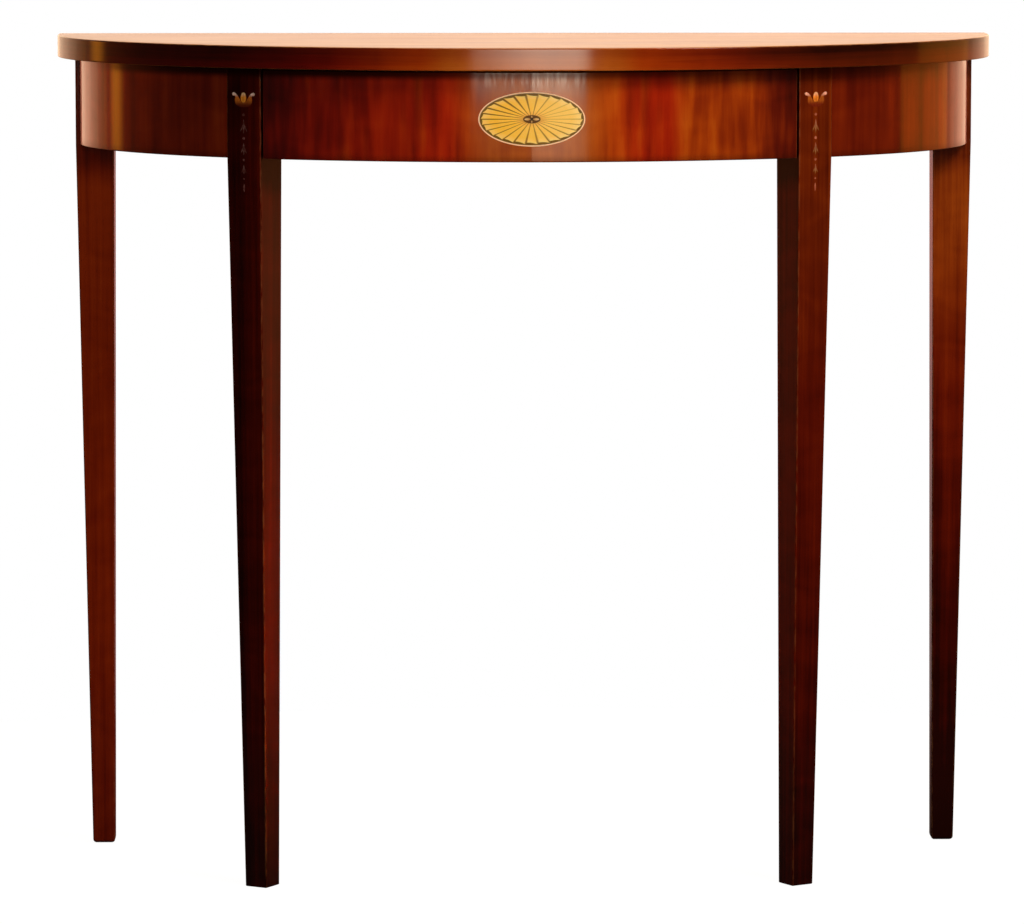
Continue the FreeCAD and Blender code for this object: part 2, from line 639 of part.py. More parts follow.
def panel(gap):
    """The drawer bottom, or with a gap the grooves that it slides in and whose lower cheeks it rests on."""
    half = DRAWER_INNER + GROOVE_DEPTH + gap
    z1 = PANEL_TOP + gap
    board = box(-half, half, -REACH, DRAWER_END, PANEL_BOTTOM, z1)
    return board.common(half_oval(FRIEZE_INNER - GROOVE_DEPTH - gap, PANEL_BOTTOM, z1))


def tails():
    """The right drawer side's dovetails, wider at their ends, through the drawer back."""
    z0, z1 = PANEL_TOP, SIDE_TOP - DRAWER_BACK_DROP
    pitch = (z1 - z0) / TAIL_COUNT
    y0, y1 = DRAWER_END - DRAWER_BACK_THICKNESS, DRAWER_END
    shapes = []
    for k in range(TAIL_COUNT):
        middle = z0 + pitch * (k + 0.5)
        root, end = pitch / 3 - TAIL_SPLAY / 2, pitch / 3 + TAIL_SPLAY / 2
        corners = [Vector(DRAWER_INNER, y0, middle - root), Vector(DRAWER_INNER, y1, middle - end),
                   Vector(DRAWER_INNER, y1, middle + end), Vector(DRAWER_INNER, y0, middle + root)]
        face = Part.Face(Part.makePolygon(corners + corners[:1]))
        shapes.append(face.extrude(Vector(DRAWER_SIDE_THICKNESS, 0, 0)))
    return shapes


def below_back():
    """The stretch of the right drawer side that runs on under the drawer back."""
    return box(DRAWER_INNER, DRAWER_HALF, DRAWER_END - DRAWER_BACK_THICKNESS, DRAWER_END,
               SIDE_BOTTOM, PANEL_TOP)


def drawer_front():
    """Core of the drawer front, with housings for the sides and a groove for the bottom."""
    housing = drawer_side_blank(GLUE_GAP)
    core = drawer_band(VENEER_INNER, FRIEZE_INNER)
    return core.cut([housing, mirrored(housing), panel(GLUE_GAP)])


def drawer_side():
    """The right drawer side: housed in the front, dovetailed to the back, grooved for the bottom."""
    side = joined([drawer_side_blank(0), below_back()] + tails())
    return side.cut(panel(GLUE_GAP))


def drawer_back():
    """The drawer back, above the bottom, with sockets for the sides' tails."""
    back = box(-DRAWER_HALF, DRAWER_HALF, DRAWER_END - DRAWER_BACK_THICKNESS, DRAWER_END,
               PANEL_TOP, SIDE_TOP - DRAWER_BACK_DROP)
    right = tails()
    return back.cut(right + [mirrored(t) for t in right] + pins())


def drawer_bottom():
    """The thin panel in the drawer's grooves."""
    return panel(0).cut(pins())


def pins():
    """The pins driven up through the bottom into the drawer back."""
    y = DRAWER_END - DRAWER_BACK_THICKNESS / 2
    return [Part.makeCylinder(PIN_DIAMETER / 2, PIN_LENGTH, Vector(k * PIN_SPACING, y, PANEL_BOTTOM))
            for k in (-1, 0, 1)]


def drawer_veneer(left, right):
    """The leaf of the drawer front's veneer between two values of X, open where the fan is let in."""
    between = box(left, right, -REACH, REACH, FRIEZE_BOTTOM, FRIEZE_TOP)
    layer = drawer_band(FRIEZE_SETBACK, VENEER_INNER).common(between)
    return layer.cut(fan_prism(fan_oval(0)))


# ---------------------------------------------------------------- fan inlay
FAN_Z = FRIEZE_TOP - FAN_DROP
FAN_BACK = curve_y(VENEER_INNER, FAN_WIDTH / 2) + VENEER_THICKNESS


def fan_point(margin, angle):
    """A point (x, z) of the oval that lies margin inside the fan's edge."""
    return Vector((FAN_WIDTH / 2 - margin) * math.cos(angle), 0,
                  FAN_Z + (FAN_HEIGHT / 2 - margin) * math.sin(angle))


def oval_edges(half_width, half_height):
    """A whole oval in front view, about the fan's middle."""
    centre = Vector(0, 0, FAN_Z)
    side, top = Vector(half_width, 0, 0), Vector(0, 0, half_height)
    long_axis, short_axis = (side, top) if half_width >= half_height else (top, side)
    return [Part.Ellipse(centre + long_axis, centre + short_axis, centre).toShape()]


def fan_oval(margin):
    """The oval that lies margin inside the fan's edge."""
    return oval_edges(FAN_WIDTH / 2 - margin, FAN_HEIGHT / 2 - margin)


def fan_prism(edges):
    """An outline carried through the veneer."""
    return front_prism(edges, -TOP_BACK, FAN_BACK)


def in_veneer(prism):
    """What a prism takes out of the drawer front's veneer layer."""
    return prism.common(drawer_band(FRIEZE_SETBACK, VENEER_INNER))


def petal_edges(k):
    """Outline of one petal: its sides point at the eye, its tip is a hollow curve from long to short."""
    step = 2 * math.pi / FAN_PETALS
    long_angle, short_angle = (k + 1) * step, k * step
    eye_x, eye_z = FAN_EYE_WIDTH / 2, FAN_EYE_HEIGHT / 2
    root_long = Vector(eye_x * math.cos(long_angle), 0, FAN_Z + eye_z * math.sin(long_angle))
    root_short = Vector(eye_x * math.cos(short_angle), 0, FAN_Z + eye_z * math.sin(short_angle))
    tip_long = fan_point(FAN_LINE + FAN_POINT_MARGIN, long_angle)
    tip_short = fan_point(FAN_LINE + FAN_SHORT_MARGIN, short_angle)
    hollow = fan_point(FAN_LINE + FAN_SHORT_MARGIN, (long_angle + short_angle) / 2)
    return [Part.makeLine(root_short, tip_short), Part.Arc(tip_short, hollow, tip_long).toShape(),
            Part.makeLine(tip_long, root_long), Part.makeLine(root_long, root_short)]


def petal_prisms():
    """All the petals before they take the curve of the veneer, clear of the eye."""
    eye = fan_prism(oval_edges(FAN_EYE_WIDTH / 2, FAN_EYE_HEIGHT / 2))
    return [fan_prism(petal_edges(k)).cut(eye) for k in range(FAN_PETALS)]


def fan_border():
    """The pale line round the fan."""
    return in_veneer(fan_prism(fan_oval(0)).cut(fan_prism(fan_oval(FAN_LINE))))


def fan_petals():
    """The petals, each a solid of its own."""
    band = drawer_band(FRIEZE_SETBACK, VENEER_INNER)
    return Part.makeCompound([petal.common(band).Solids[0] for petal in petal_prisms()])


def fan_ground():
    """The dark ground between the border and the petals' tips."""
    eye = fan_prism(oval_edges(FAN_EYE_WIDTH / 2, FAN_EYE_HEIGHT / 2))
    return in_veneer(fan_prism(fan_oval(FAN_LINE)).cut(petal_prisms() + [eye]))


def star_prisms():
    """The star's four leaves, set round the dark middle of the eye."""
    long_reach, short_reach = FAN_EYE_WIDTH / 2 - FAN_LINE, FAN_EYE_HEIGHT / 2 - FAN_LINE / 2
    leaves = []
    for x, z in ((1, 0), (0, 1), (-1, 0), (0, -1)):
        foot = (x * FAN_STAR_PITCH, FAN_Z + z * FAN_STAR_PITCH)
        tip = (x * long_reach, FAN_Z + z * short_reach)
        width = FAN_STAR_LEAF if x else FAN_STAR_LEAF / 2
        leaves.append(fan_prism(leaf(foot, tip, width)))
    return leaves


def fan_star():
    """The four pale leaves in the eye."""
    return Part.makeCompound([in_veneer(prism).Solids[0] for prism in star_prisms()])


def fan_eye():
    """The dark oval in the middle of the fan."""
    return in_veneer(fan_prism(oval_edges(FAN_EYE_WIDTH / 2, FAN_EYE_HEIGHT / 2)).cut(star_prisms()))


# ---------------------------------------------------------------- the whole table
def single_pieces():
    """Pieces that the table has once."""
    return {"top_board": top_board(), "back_rail": back_rail(), "upper_tie_rail": upper_tie_rail(),
            "lower_tie_rail": lower_tie_rail(), "top_screws": Part.makeCompound(screws()),
            "drawer_front": drawer_front(), "drawer_back": drawer_back(), "drawer_bottom": drawer_bottom(),
            "drawer_bottom_pins": Part.makeCompound(pins()), "fan_border": fan_border(),
            "fan_ground": fan_ground(), "fan_petals": fan_petals(), "fan_eye": fan_eye(),
            "fan_star": fan_star(), "drawer_veneer_left": drawer_veneer(-REACH, 0),
            "drawer_veneer_right": drawer_veneer(0, REACH)}


def paired_pieces():
    """Pieces that the table has on both sides, as made for the right."""
    return {"front_leg": front_leg(), "back_leg": back_leg(), "side_frieze": side_frieze(),
            "side_veneer": side_veneer(), "tulip_inlay": tulip_inlay(), "husk_inlay": husk_inlay(),
            "drawer_runner": drawer_runner(), "drawer_guide": drawer_guide(),
            "drawer_kicker": drawer_kicker(), "drawer_stop": drawer_stop(),
            "corner_brace": corner_brace(), "leg_glue_block": leg_glue_block(),
            "drawer_side": drawer_side()}


def all_pieces():
    """Every node of the table by name."""
    pieces = single_pieces()
    for name, shape in paired_pieces().items():
        pieces[name + "_right"] = shape
        pieces[name + "_left"] = mirrored(shape)
    return pieces


def main():
    """Write one STEP file for each node."""
    os.makedirs("parts", exist_ok=True)
    for name, shape in all_pieces().items():
        shape.exportStep("parts/" + name + ".step")


main()
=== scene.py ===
"""Looks of a half-oval (demilune) side table with a bow-fronted drawer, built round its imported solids.

Metres; +X to the right, +Y to the back, +Z up.  The origin is on the floor, under the middle of the top.
"""

import logging
import math
from dataclasses import dataclass, replace
from enum import Enum
from typing import Mapping, Sequence, Union

import bpy
import numpy as np
from mathutils import Euler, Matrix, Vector


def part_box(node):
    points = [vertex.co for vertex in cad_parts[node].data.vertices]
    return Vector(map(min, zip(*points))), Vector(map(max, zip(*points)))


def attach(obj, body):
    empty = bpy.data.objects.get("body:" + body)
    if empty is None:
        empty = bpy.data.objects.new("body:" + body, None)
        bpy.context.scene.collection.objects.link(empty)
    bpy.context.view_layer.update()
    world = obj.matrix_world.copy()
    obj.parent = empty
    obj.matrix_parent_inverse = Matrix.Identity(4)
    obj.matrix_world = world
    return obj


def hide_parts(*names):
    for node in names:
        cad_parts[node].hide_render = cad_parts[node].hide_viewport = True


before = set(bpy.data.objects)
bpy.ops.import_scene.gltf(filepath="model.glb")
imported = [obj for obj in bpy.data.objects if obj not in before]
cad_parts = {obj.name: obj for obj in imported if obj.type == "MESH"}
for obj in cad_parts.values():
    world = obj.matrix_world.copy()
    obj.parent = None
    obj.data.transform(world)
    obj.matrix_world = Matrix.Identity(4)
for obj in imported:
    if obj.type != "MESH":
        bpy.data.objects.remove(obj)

MM = 0.001
SMOOTH_ANGLE = math.radians(40)      # a bend sharper than this keeps a hard line in the shading
WELD_STEP = 1e-7                     # points closer than this are one point
LEAF_ROWS = 5                        # points across a small leaf of inlay
CURVE_STEPS = 2881                   # angles at which a curve is measured
ROUND_START = 0.05                   # a plate's rounding starts where it drops by this share of its radius
log = logging.getLogger("table")

Colour = tuple[float, float, float]
Span = tuple[float, float]           # where a change starts, and where it is whole
Number = Union[float, np.ndarray]
Setting = Union[str, float, bool, Sequence]


class Side(Enum):
    """The two sides of the table, with the sign of X."""
    LEFT = -1
    RIGHT = 1

    @property
    def word(self) -> str:
        """The side's name at the end of a node's name."""
        return self.name.lower()


class Row(Enum):
    """The front and the back pair of legs."""
    FRONT = "front"
    BACK = "back"


class Grain(Enum):
    """The way that the wood's grain runs on a piece."""
    UP = "up"
    ALONG = "along the table"
    DEEP = "front to back"
    WRAPPED = "along V of the piece's own map"


# ---------------------------------------------------------------- meshes from grids of points
@dataclass
class Form:
    """Points and faces of a piece before it becomes a mesh.

    uv holds a place on the surface for each point, and wear is 1 on an edge that hands rub and 0 elsewhere.
    """
    points: np.ndarray
    faces: np.ndarray
    uv: np.ndarray
    wear: np.ndarray

    def on_side(self, side: Side) -> "Form":
        """The form as made for the right, or its mirror image with its faces turned back outwards."""
        if side is Side.RIGHT:
            return self
        return replace(self, points=self.points * (-1, 1, 1), faces=self.faces[:, ::-1])


def joined(forms: Sequence[Form]) -> Form:
    """Put several forms together.

    Args:
        forms: the forms.

    Returns:
        One form, its faces renumbered.
    """
    starts = np.cumsum([0] + [len(form.points) for form in forms[:-1]])
    return Form(np.vstack([form.points for form in forms]),
                np.vstack([form.faces + start for form, start in zip(forms, starts)]),
                np.vstack([form.uv for form in forms]),
                np.concatenate([form.wear for form in forms]))


def grid_faces(number: np.ndarray) -> np.ndarray:
    """Faces of a grid of point numbers: each runs round a point, the next row's, the next of both, the next
    column's.
    """
    corners = [number[:-1, :-1], number[1:, :-1], number[1:, 1:], number[:-1, 1:]]
    return np.stack(corners, axis=-1).reshape(-1, 4)


def lathe_skin(rings: np.ndarray, wear: np.ndarray) -> Form:
    """Close a stack of rings, highest first, each running anticlockwise seen from above.

    Args:
        rings: points of shape (rings, points in a ring, 3); the first and last ring have shrunk to a point.
        wear: one value for each ring, or one for each point.

    Returns:
        The closed form, whose last column of faces meets the first.
    """
    rows, columns = rings.shape[:2]
    number = np.arange(rows * columns).reshape(rows, columns)
    faces = grid_faces(np.hstack([number, number[:, :1]]))
    points = rings.reshape(-1, 3)
    spread = np.broadcast_to(wear.reshape(rows, -1), (rows, columns)).ravel()
    return Form(points, faces, points[:, :2], spread)


def sheet_shell(front: np.ndarray, back: np.ndarray, uv: np.ndarray, wear: np.ndarray,
                wrap: bool = False) -> Form:
    """Close a front grid and a back grid into one thin shell.

    The back's faces run the other way round, and strips of faces join the two borders.

    Args:
        front: points of shape (rows, columns, 3); rows times columns, as vectors, point outwards.
        back: points of the same shape.
        uv: places on the surface, of shape (rows, columns, 2).
        wear: rubbed edges, of shape (rows, columns).
        wrap: true where the last column meets the first.

    Returns:
        The closed form.
    """
    rows, columns = front.shape[:2]
    count = rows * columns
    number = np.arange(count).reshape(rows, columns)
    if wrap:
        number = np.hstack([number, number[:, :1]])
    front_faces = grid_faces(number)
    borders = [number[-1, :], number[0, ::-1]]
    if not wrap:
        borders += [number[:, 0], number[::-1, -1]]
    walls = [np.stack([b[1:], b[:-1], b[:-1] + count, b[1:] + count], axis=-1) for b in borders]
    faces = np.vstack([front_faces, front_faces[:, ::-1] + count] + walls)
    points = np.vstack([front.reshape(-1, 3), back.reshape(-1, 3)])
    both = np.concatenate([wear.ravel(), np.zeros(count)])
    return Form(points, faces, np.tile(uv.reshape(-1, 2), (2, 1)), both)


def to_mesh(name: str, form: Form) -> bpy.types.Mesh:
    """Make a mesh with smooth shading, poles closed to one point, a map and the wear attribute.

    Points that lie on each other are welded.  A face that loses one corner is a triangle, and one that
    loses more is left out.

    Args:
        name: the mesh's name.
        form: its points and faces.

    Returns:
        The finished mesh.
    """
    keys = np.round(form.points / WELD_STEP).astype(np.int64)
    _, first, group = np.unique(keys, axis=0, return_index=True, return_inverse=True)
    welded = group.reshape(-1)[form.faces]
    same = welded == np.roll(welded, -1, axis=1)
    whole, three = same.sum(axis=1) == 0, same.sum(axis=1) == 1
    corners = np.concatenate([form.faces[whole].ravel(), form.faces[three][~same[three]]])
    triangles = welded[three][~same[three]].reshape(-1, 3)
    mesh = bpy.data.meshes.new(name)
    mesh.from_pydata(form.points[first].tolist(), [], welded[whole].tolist() + triangles.tolist())
    layer = mesh.uv_layers.new(name="Surface")
    layer.data.foreach_set("uv", form.uv[corners].astype(np.float32).ravel())
    wear = mesh.attributes.new("wear", "FLOAT", "POINT")
    wear.data.foreach_set("value", form.wear[first].astype(np.float32))
    mesh.update()
    mesh.shade_smooth()
    mesh.set_sharp_from_angle(angle=SMOOTH_ANGLE)
    return mesh


def pairs(first: Number, second: Number) -> np.ndarray:
    """Points or vectors in a plane from their two parts, either of which may be one value for all."""
    return np.stack(np.broadcast_arrays(first, second), axis=-1)


def raised(plan: np.ndarray, height: Number) -> np.ndarray:
    """Points in space from points in plan and their heights."""
    return np.concatenate([plan, np.broadcast_to(height, plan.shape[:-1])[..., None]], axis=-1)


def whole_turn(count: int) -> np.ndarray:
    """Angles evenly round a circle."""
    return np.linspace(0, math.tau, count, endpoint=False)


def turned(angle: float) -> np.ndarray:
    """The matrix that turns rows of points anticlockwise about the origin."""
    return np.array(((math.cos(angle), math.sin(angle)), (-math.sin(angle), math.cos(angle))))


def round_steps(radius: float, steps: int) -> tuple[np.ndarray, np.ndarray]:
    """A quarter round: how far in from the edge each step lies, and how far it drops below the face.

    With an angle from 0 to 90 degrees, the first is radius times (1 - cosine) and the second is radius
    times (1 - sine).
    """
    angle = np.linspace(0, math.pi / 2, steps)
    return radius * (1 - np.cos(angle)), radius * (1 - np.sin(angle))


def edge_drop(inside_a: np.ndarray, inside_b: Number, radius: float) -> np.ndarray:
    """How far a rounded plate drops at a point, from its distances inside two of the plate's borders.

    It is the radius less the root of its square minus the squares of what each distance lacks of it.
    """
    lack_a, lack_b = (np.clip(radius - inside, 0, radius) for inside in (inside_a, inside_b))
    return radius - np.sqrt(np.clip(radius ** 2 - lack_a ** 2 - lack_b ** 2, 0, None))


def rounded(drop: np.ndarray, radius: float) -> np.ndarray:
    """1 where a plate's rounding has begun to drop and 0 on its flat."""
    return (drop > ROUND_START * radius).astype(float)


def smooth_through(points: Sequence[tuple[float, float]], count: int) -> np.ndarray:
    """A smooth curve through some points.

    Between two points it is the cubic whose slope at each is half the step between that point's neighbours.

    Args:
        points: the points, as (across, up).
        count: how many points the curve gets.

    Returns:
        The curve, of shape (count, 2).
    """
    knots = np.array(points, float)
    slopes = np.gradient(knots, axis=0)
    place = np.linspace(0, len(knots) - 1, count)
    low = np.minimum(place.astype(int), len(knots) - 2)
    t = (place - low)[:, None]
    blends = (1 + 2 * t) * (1 - t) ** 2, t * (1 - t) ** 2, t ** 2 * (3 - 2 * t), t ** 2 * (t - 1)
    return (blends[0] * knots[low] + blends[1] * slopes[low]
            + blends[2] * knots[low + 1] + blends[3] * slopes[low + 1])


def between(first: np.ndarray, last: np.ndarray, shares: np.ndarray) -> np.ndarray:
    """Rows of points that go from a first line of points to a last one by the shares given."""
    return first[None] + (last - first)[None] * shares[:, None, None]


def pointed_leaf(foot: np.ndarray, tip: np.ndarray, width: float,
                 steps: int) -> tuple[np.ndarray, np.ndarray]:
    """A flat leaf, pointed at both ends: at a share u of its length it is width times 4 u (1 - u) wide.

    Args:
        foot: where it starts, as (across, up).
        tip: where it ends.
        width: its greatest width.
        steps: how many points it has from foot to tip.

    Returns:
        Its grid of points, and the share u at each.
    """
    u = np.linspace(0, 1, steps)
    way = (tip - foot) / np.linalg.norm(tip - foot)
    middle = foot + (tip - foot) * u[:, None]
    half = (2 * width * u * (1 - u))[:, None] * np.array((way[1], -way[0]))
    return between(middle - half, middle + half, np.linspace(0, 1, LEAF_ROWS)), np.tile(u, (LEAF_ROWS, 1))


# ---------------------------------------------------------------- the table's measures
@dataclass(frozen=True)
class HalfOval:
    """The curve of top and frieze in plan.

    x is half_width times the sine of an angle, and y is centre_y less depth times its cosine.  The angle
    is 0 in front and grows to the right.
    """
    half_width: float
    depth: float
    centre_y: float

    def inset(self, distance: float) -> "HalfOval":
        """The same curve further in."""
        return HalfOval(self.half_width - distance, self.depth - distance, self.centre_y)

    def plan(self, angle: np.ndarray) -> np.ndarray:
        """Points (x, y) at some angles."""
        return pairs(self.half_width * np.sin(angle), self.centre_y - self.depth * np.cos(angle))

    def outward(self, angle: np.ndarray) -> np.ndarray:
        """Unit vectors square to the curve: (sine / half_width, -cosine / depth), made one long."""
        normal = pairs(np.sin(angle) / self.half_width, -np.cos(angle) / self.depth)
        return normal / np.linalg.norm(normal, axis=-1, keepdims=True)

    def length(self, angle: np.ndarray) -> np.ndarray:
        """Length along the curve from its middle to some angles, summed over short chords."""
        fine = np.linspace(0, math.pi / 2, CURVE_STEPS)
        chords = np.linalg.norm(np.diff(self.plan(fine), axis=0), axis=1)
        return np.sign(angle) * np.interp(np.abs(angle), fine, np.concatenate([[0], np.cumsum(chords)]))

    def angle_at(self, origin: np.ndarray, direction: np.ndarray, distance: float) -> float:
        """Angle where the curve's right half lies a distance from origin, measured along direction."""
        fine = np.linspace(0, math.pi / 2, CURVE_STEPS)
        along = (self.plan(fine) - origin) @ direction
        return float(np.interp(distance, along, fine))


@dataclass(frozen=True)
class Measures:
    """Sizes and places that the pieces share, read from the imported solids."""
    rim: HalfOval
    face: HalfOval
    back_y: float
    top_z: float
    frieze_top: float
    frieze_bottom: float
    band_back: float
    drawer_bottom: float
    drawer_top: float
    leg_half: float
    front_leg: np.ndarray
    back_leg: np.ndarray
    leg_turn: float
    fan_height: float

    @classmethod
    def from_frame(cls) -> "Measures":
        """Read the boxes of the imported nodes."""
        top_low, top_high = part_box("top_board")
        drawer_low, drawer_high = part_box("drawer_veneer_left")
        band_low, band_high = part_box("side_veneer_right")
        back_low, back_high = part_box("back_leg_right")
        front_low, front_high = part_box("front_leg_right")
        fan_low, fan_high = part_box("fan_border")
        centre_y = top_high.y - TOP_RETURN
        rim = HalfOval(top_high.x, centre_y - top_low.y, centre_y)
        face = rim.inset(drawer_low.y - top_low.y)
        half = (back_high.y - back_low.y) / 2
        front = np.array(((front_low.x + front_high.x) / 2, (front_low.y + front_high.y) / 2))
        angles = np.linspace(0, math.pi / 2, CURVE_STEPS)
        axis_x = (face.plan(angles) - half * face.outward(angles))[:, 0]
        touch = face.outward(np.array(np.interp(front[0], axis_x, angles)))
        return cls(rim, face, top_high.y, top_high.z, top_low.z, band_low.z, band_high.y, drawer_low.z,
                   drawer_high.z, half, front, np.array((back_high.x - half, back_high.y - half)),
                   math.atan2(touch[0], -touch[1]), (fan_low.z + fan_high.z) / 2)

    @property
    def leg_side(self) -> np.ndarray:
        """Unit vector in plan from the right front leg's middle to its outer side."""
        return np.array((math.cos(self.leg_turn), math.sin(self.leg_turn)))

    @property
    def leg_front(self) -> np.ndarray:
        """Unit vector in plan from the right front leg's middle to its face."""
        return np.array((math.sin(self.leg_turn), -math.cos(self.leg_turn)))

    def arris(self, way: int) -> float:
        """X of a front arris of the right front leg: the outer one for 1, the inner one for -1."""
        return float(self.front_leg[0] + self.leg_half * (way * self.leg_side[0] + self.leg_front[0]))


TOP_RETURN = 20 * MM                 # straight stretch at each end of the top, before the half oval starts
SIZES = Measures.from_frame()


# ---------------------------------------------------------------- shader nodes written as sums
class Term:
    """The output of a shader node, which can be used in Python sums.

    Sums of values add Math nodes.  A sum that holds a colour, a vector or a tuple adds a Vector Math node.
    """

    def __init__(self, web: "Web", socket: bpy.types.NodeSocket) -> None:
        """Keep the socket and the web that it belongs to."""
        self.web = web
        self.socket = socket

    def _sum(self, operation: str, first: "Operand", second: "Operand") -> "Term":
        """Add the node for one operation on two operands."""
        wide = any(is_wide(operand) for operand in (first, second))
        kind = "ShaderNodeVectorMath" if wide else "ShaderNodeMath"
        return self.web.add(kind, {"operation": operation}, {0: first, 1: second})

    def __add__(self, other: "Operand") -> "Term":
        """self + other"""
        return self._sum("ADD", self, other)

    __radd__ = __add__

    def __sub__(self, other: "Operand") -> "Term":
        """self - other"""
        return self._sum("SUBTRACT", self, other)

    def __rsub__(self, other: "Operand") -> "Term":
        """other - self"""
        return self._sum("SUBTRACT", other, self)

    def __mul__(self, other: "Operand") -> "Term":
        """self * other"""
        return self._sum("MULTIPLY", self, other)

    __rmul__ = __mul__

    def __truediv__(self, other: "Operand") -> "Term":
        """self / other"""
        return self._sum("DIVIDE", self, other)

    def __pow__(self, other: "Operand") -> "Term":
        """self ** other, for values"""
        return self._sum("POWER", self, other)

    def least(self, other: "Operand") -> "Term":
        """The smaller of two values."""
        return self._sum("MINIMUM", self, other)

    def most(self, other: "Operand") -> "Term":
        """The larger of two values."""
        return self._sum("MAXIMUM", self, other)

    def fraction(self) -> "Term":
        """What a value leaves over its whole part."""
        return self._sum("FRACT", self, 0.0)

    def part(self, axis: str) -> "Term":
        """One part of a vector."""
        return self.web.add("ShaderNodeSeparateXYZ", {}, {"Vector": self}, axis)

    def step(self, low: float, high: float) -> "Term":
        """A smooth rise from 0 at low to 1 at high; the other way round if low is above high."""
        return self.web.add("ShaderNodeMapRange", {"interpolation_type": "SMOOTHSTEP"},
                            {"Value": self, "From Min": min(low, high), "From Max": max(low, high),
                             "To Min": float(low > high), "To Max": float(low <= high)})


Operand = Union[Term, float, Colour]


def is_wide(operand: Operand) -> bool:
    """Whether an operand is a colour or a vector."""
    if isinstance(operand, Term):
        return operand.socket.type in ("RGBA", "VECTOR")
    return isinstance(operand, tuple)


class Web:
    """The node tree of one material or of the world."""
    MIX_COLOUR_A, MIX_COLOUR_B, MIX_COLOUR_RESULT = 6, 7, 2

    def __init__(self, tree: bpy.types.NodeTree) -> None:
        """Empty the tree."""
        self.tree = tree
        tree.nodes.clear()

    def add(self, kind: str, settings: Mapping[str, Setting], sockets: Mapping[Union[str, int], Operand],
            output: Union[str, int] = 0) -> Term:
        """Add one node.

        Args:
            kind: the node's type.
            settings: its own settings, which are set first; stops are a colour ramp's.
            sockets: a value or a term for each socket, by name or by number.
            output: the output to return.

        Returns:
            The output as a term.
        """
        node = self.tree.nodes.new(kind)
        for name, value in settings.items():
            if name == "stops":
                self._set_stops(node.color_ramp, value)
            else:
                setattr(node, name, value)
        for name, value in sockets.items():
            if isinstance(value, Term):
                self.tree.links.new(value.socket, node.inputs[name])
            else:
                node.inputs[name].default_value = self._fitted(node.inputs[name], value)
        return Term(self, node.outputs[output])

    @staticmethod
    def _set_stops(ramp: bpy.types.ColorRamp, stops: Sequence[tuple[float, Colour]]) -> None:
        """Give a ramp its stops.

        Args:
            ramp: the ramp of a new node, which has two stops.
            stops: two or more, each a place and a colour.
        """
        while len(ramp.elements) < len(stops):
            ramp.elements.new(1.0)
        for element, (place, colour) in zip(ramp.elements, stops):
            element.position = place
            element.color = (*colour, 1.0)

    @staticmethod
    def _fitted(socket: bpy.types.NodeSocket, value: Setting) -> Setting:
        """Fit a value to its socket.

        Args:
            socket: the socket.
            value: a number, or a tuple of three for a colour or a vector.

        Returns:
            The value; a colour has its alpha, and a number for a vector is its three equal parts.
        """
        if socket.type == "RGBA":
            return (*value, 1.0) if isinstance(value, tuple) else (value, value, value, 1.0)
        if socket.type == "VECTOR" and not isinstance(value, tuple):
            return (value, value, value)
        return value

    def mix(self, factor: Operand, first: Operand, second: Operand, blend: str = "MIX") -> Term:
        """A colour between two others, or one laid over the other by a blend."""
        sockets = {0: factor, self.MIX_COLOUR_A: first, self.MIX_COLOUR_B: second}
        return self.add("ShaderNodeMix", {"data_type": "RGBA", "blend_type": blend}, sockets,
                        self.MIX_COLOUR_RESULT)

    def noise(self, place: Term, stretch: Colour, detail: float = 2.0, roughness: float = 0.5,
              distortion: float = 0.0) -> Term:
        """Cloudy noise from 0 to 1, with stretch waves to a metre along each axis."""
        sockets = {"Vector": place * stretch, "Scale": 1.0, "Detail": detail, "Roughness": roughness,
                   "Distortion": distortion}
        return self.add("ShaderNodeTexNoise", {}, sockets, "Fac")

    def even_noise(self, place: Term, waves: float, detail: float, roughness: float) -> Term:
        """Noise with as many waves to a metre along every axis."""
        return self.noise(place, (waves, waves, waves), detail, roughness)

    def ramp(self, value: Operand, stops: Sequence[tuple[float, Colour]]) -> Term:
        """A colour picked by a value."""
        return self.add("ShaderNodeValToRGB", {"stops": stops}, {"Fac": value}, "Color")

    def wear(self) -> Term:
        """The piece's own attribute of rubbed edges."""
        return self.add("ShaderNodeAttribute", {"attribute_name": "wear"}, {}, "Fac")

    def spot(self) -> Term:
        """The point in the table's own metres."""
        return self.add("ShaderNodeTexCoord", {}, {}, "Object")

    def surface(self) -> Term:
        """The piece's own map."""
        return self.add("ShaderNodeUVMap", {"uv_map": "Surface"}, {}, "UV")

    def grain_place(self, grain: Grain) -> Term:
        """Lay the grain.

        Args:
            grain: the way that it runs.

        Returns:
            A vector whose X and Z run across the grain and whose Y runs along it.
        """
        if grain is Grain.WRAPPED:
            return self.surface()
        quarter = math.pi / 2
        turns = {Grain.UP: (quarter, 0.0, 0.0), Grain.ALONG: (0.0, 0.0, quarter),
                 Grain.DEEP: (0.0, 0.0, 0.0)}
        return self.add("ShaderNodeMapping", {}, {"Vector": self.spot(), "Rotation": turns[grain]})

    def bump(self, height: Term, distance: float) -> Term:
        """A normal bent by a height, whose full step is distance."""
        return self.add("ShaderNodeBump", {}, {"Height": height, "Distance": distance})

    def shown(self, mirrored: Operand) -> Term:
        """1 for a ray from the camera or through glass, and mirrored for one that a shine sends."""
        rays = [self.add("ShaderNodeLightPath", {}, {}, f"Is {kind} Ray")
                for kind in ("Camera", "Transmission", "Glossy")]
        return (rays[0] + rays[1] + rays[2] * mirrored).least(1.0)

    def end(self, kind: str, shader: Term) -> None:
        """Add the tree's output node."""
        node = self.tree.nodes.new(kind)
        self.tree.links.new(shader.socket, node.inputs["Surface"])


RED_SHINE = (1.0, 0.10, 0.01)        # tint of the shine of polished mahogany's fibres


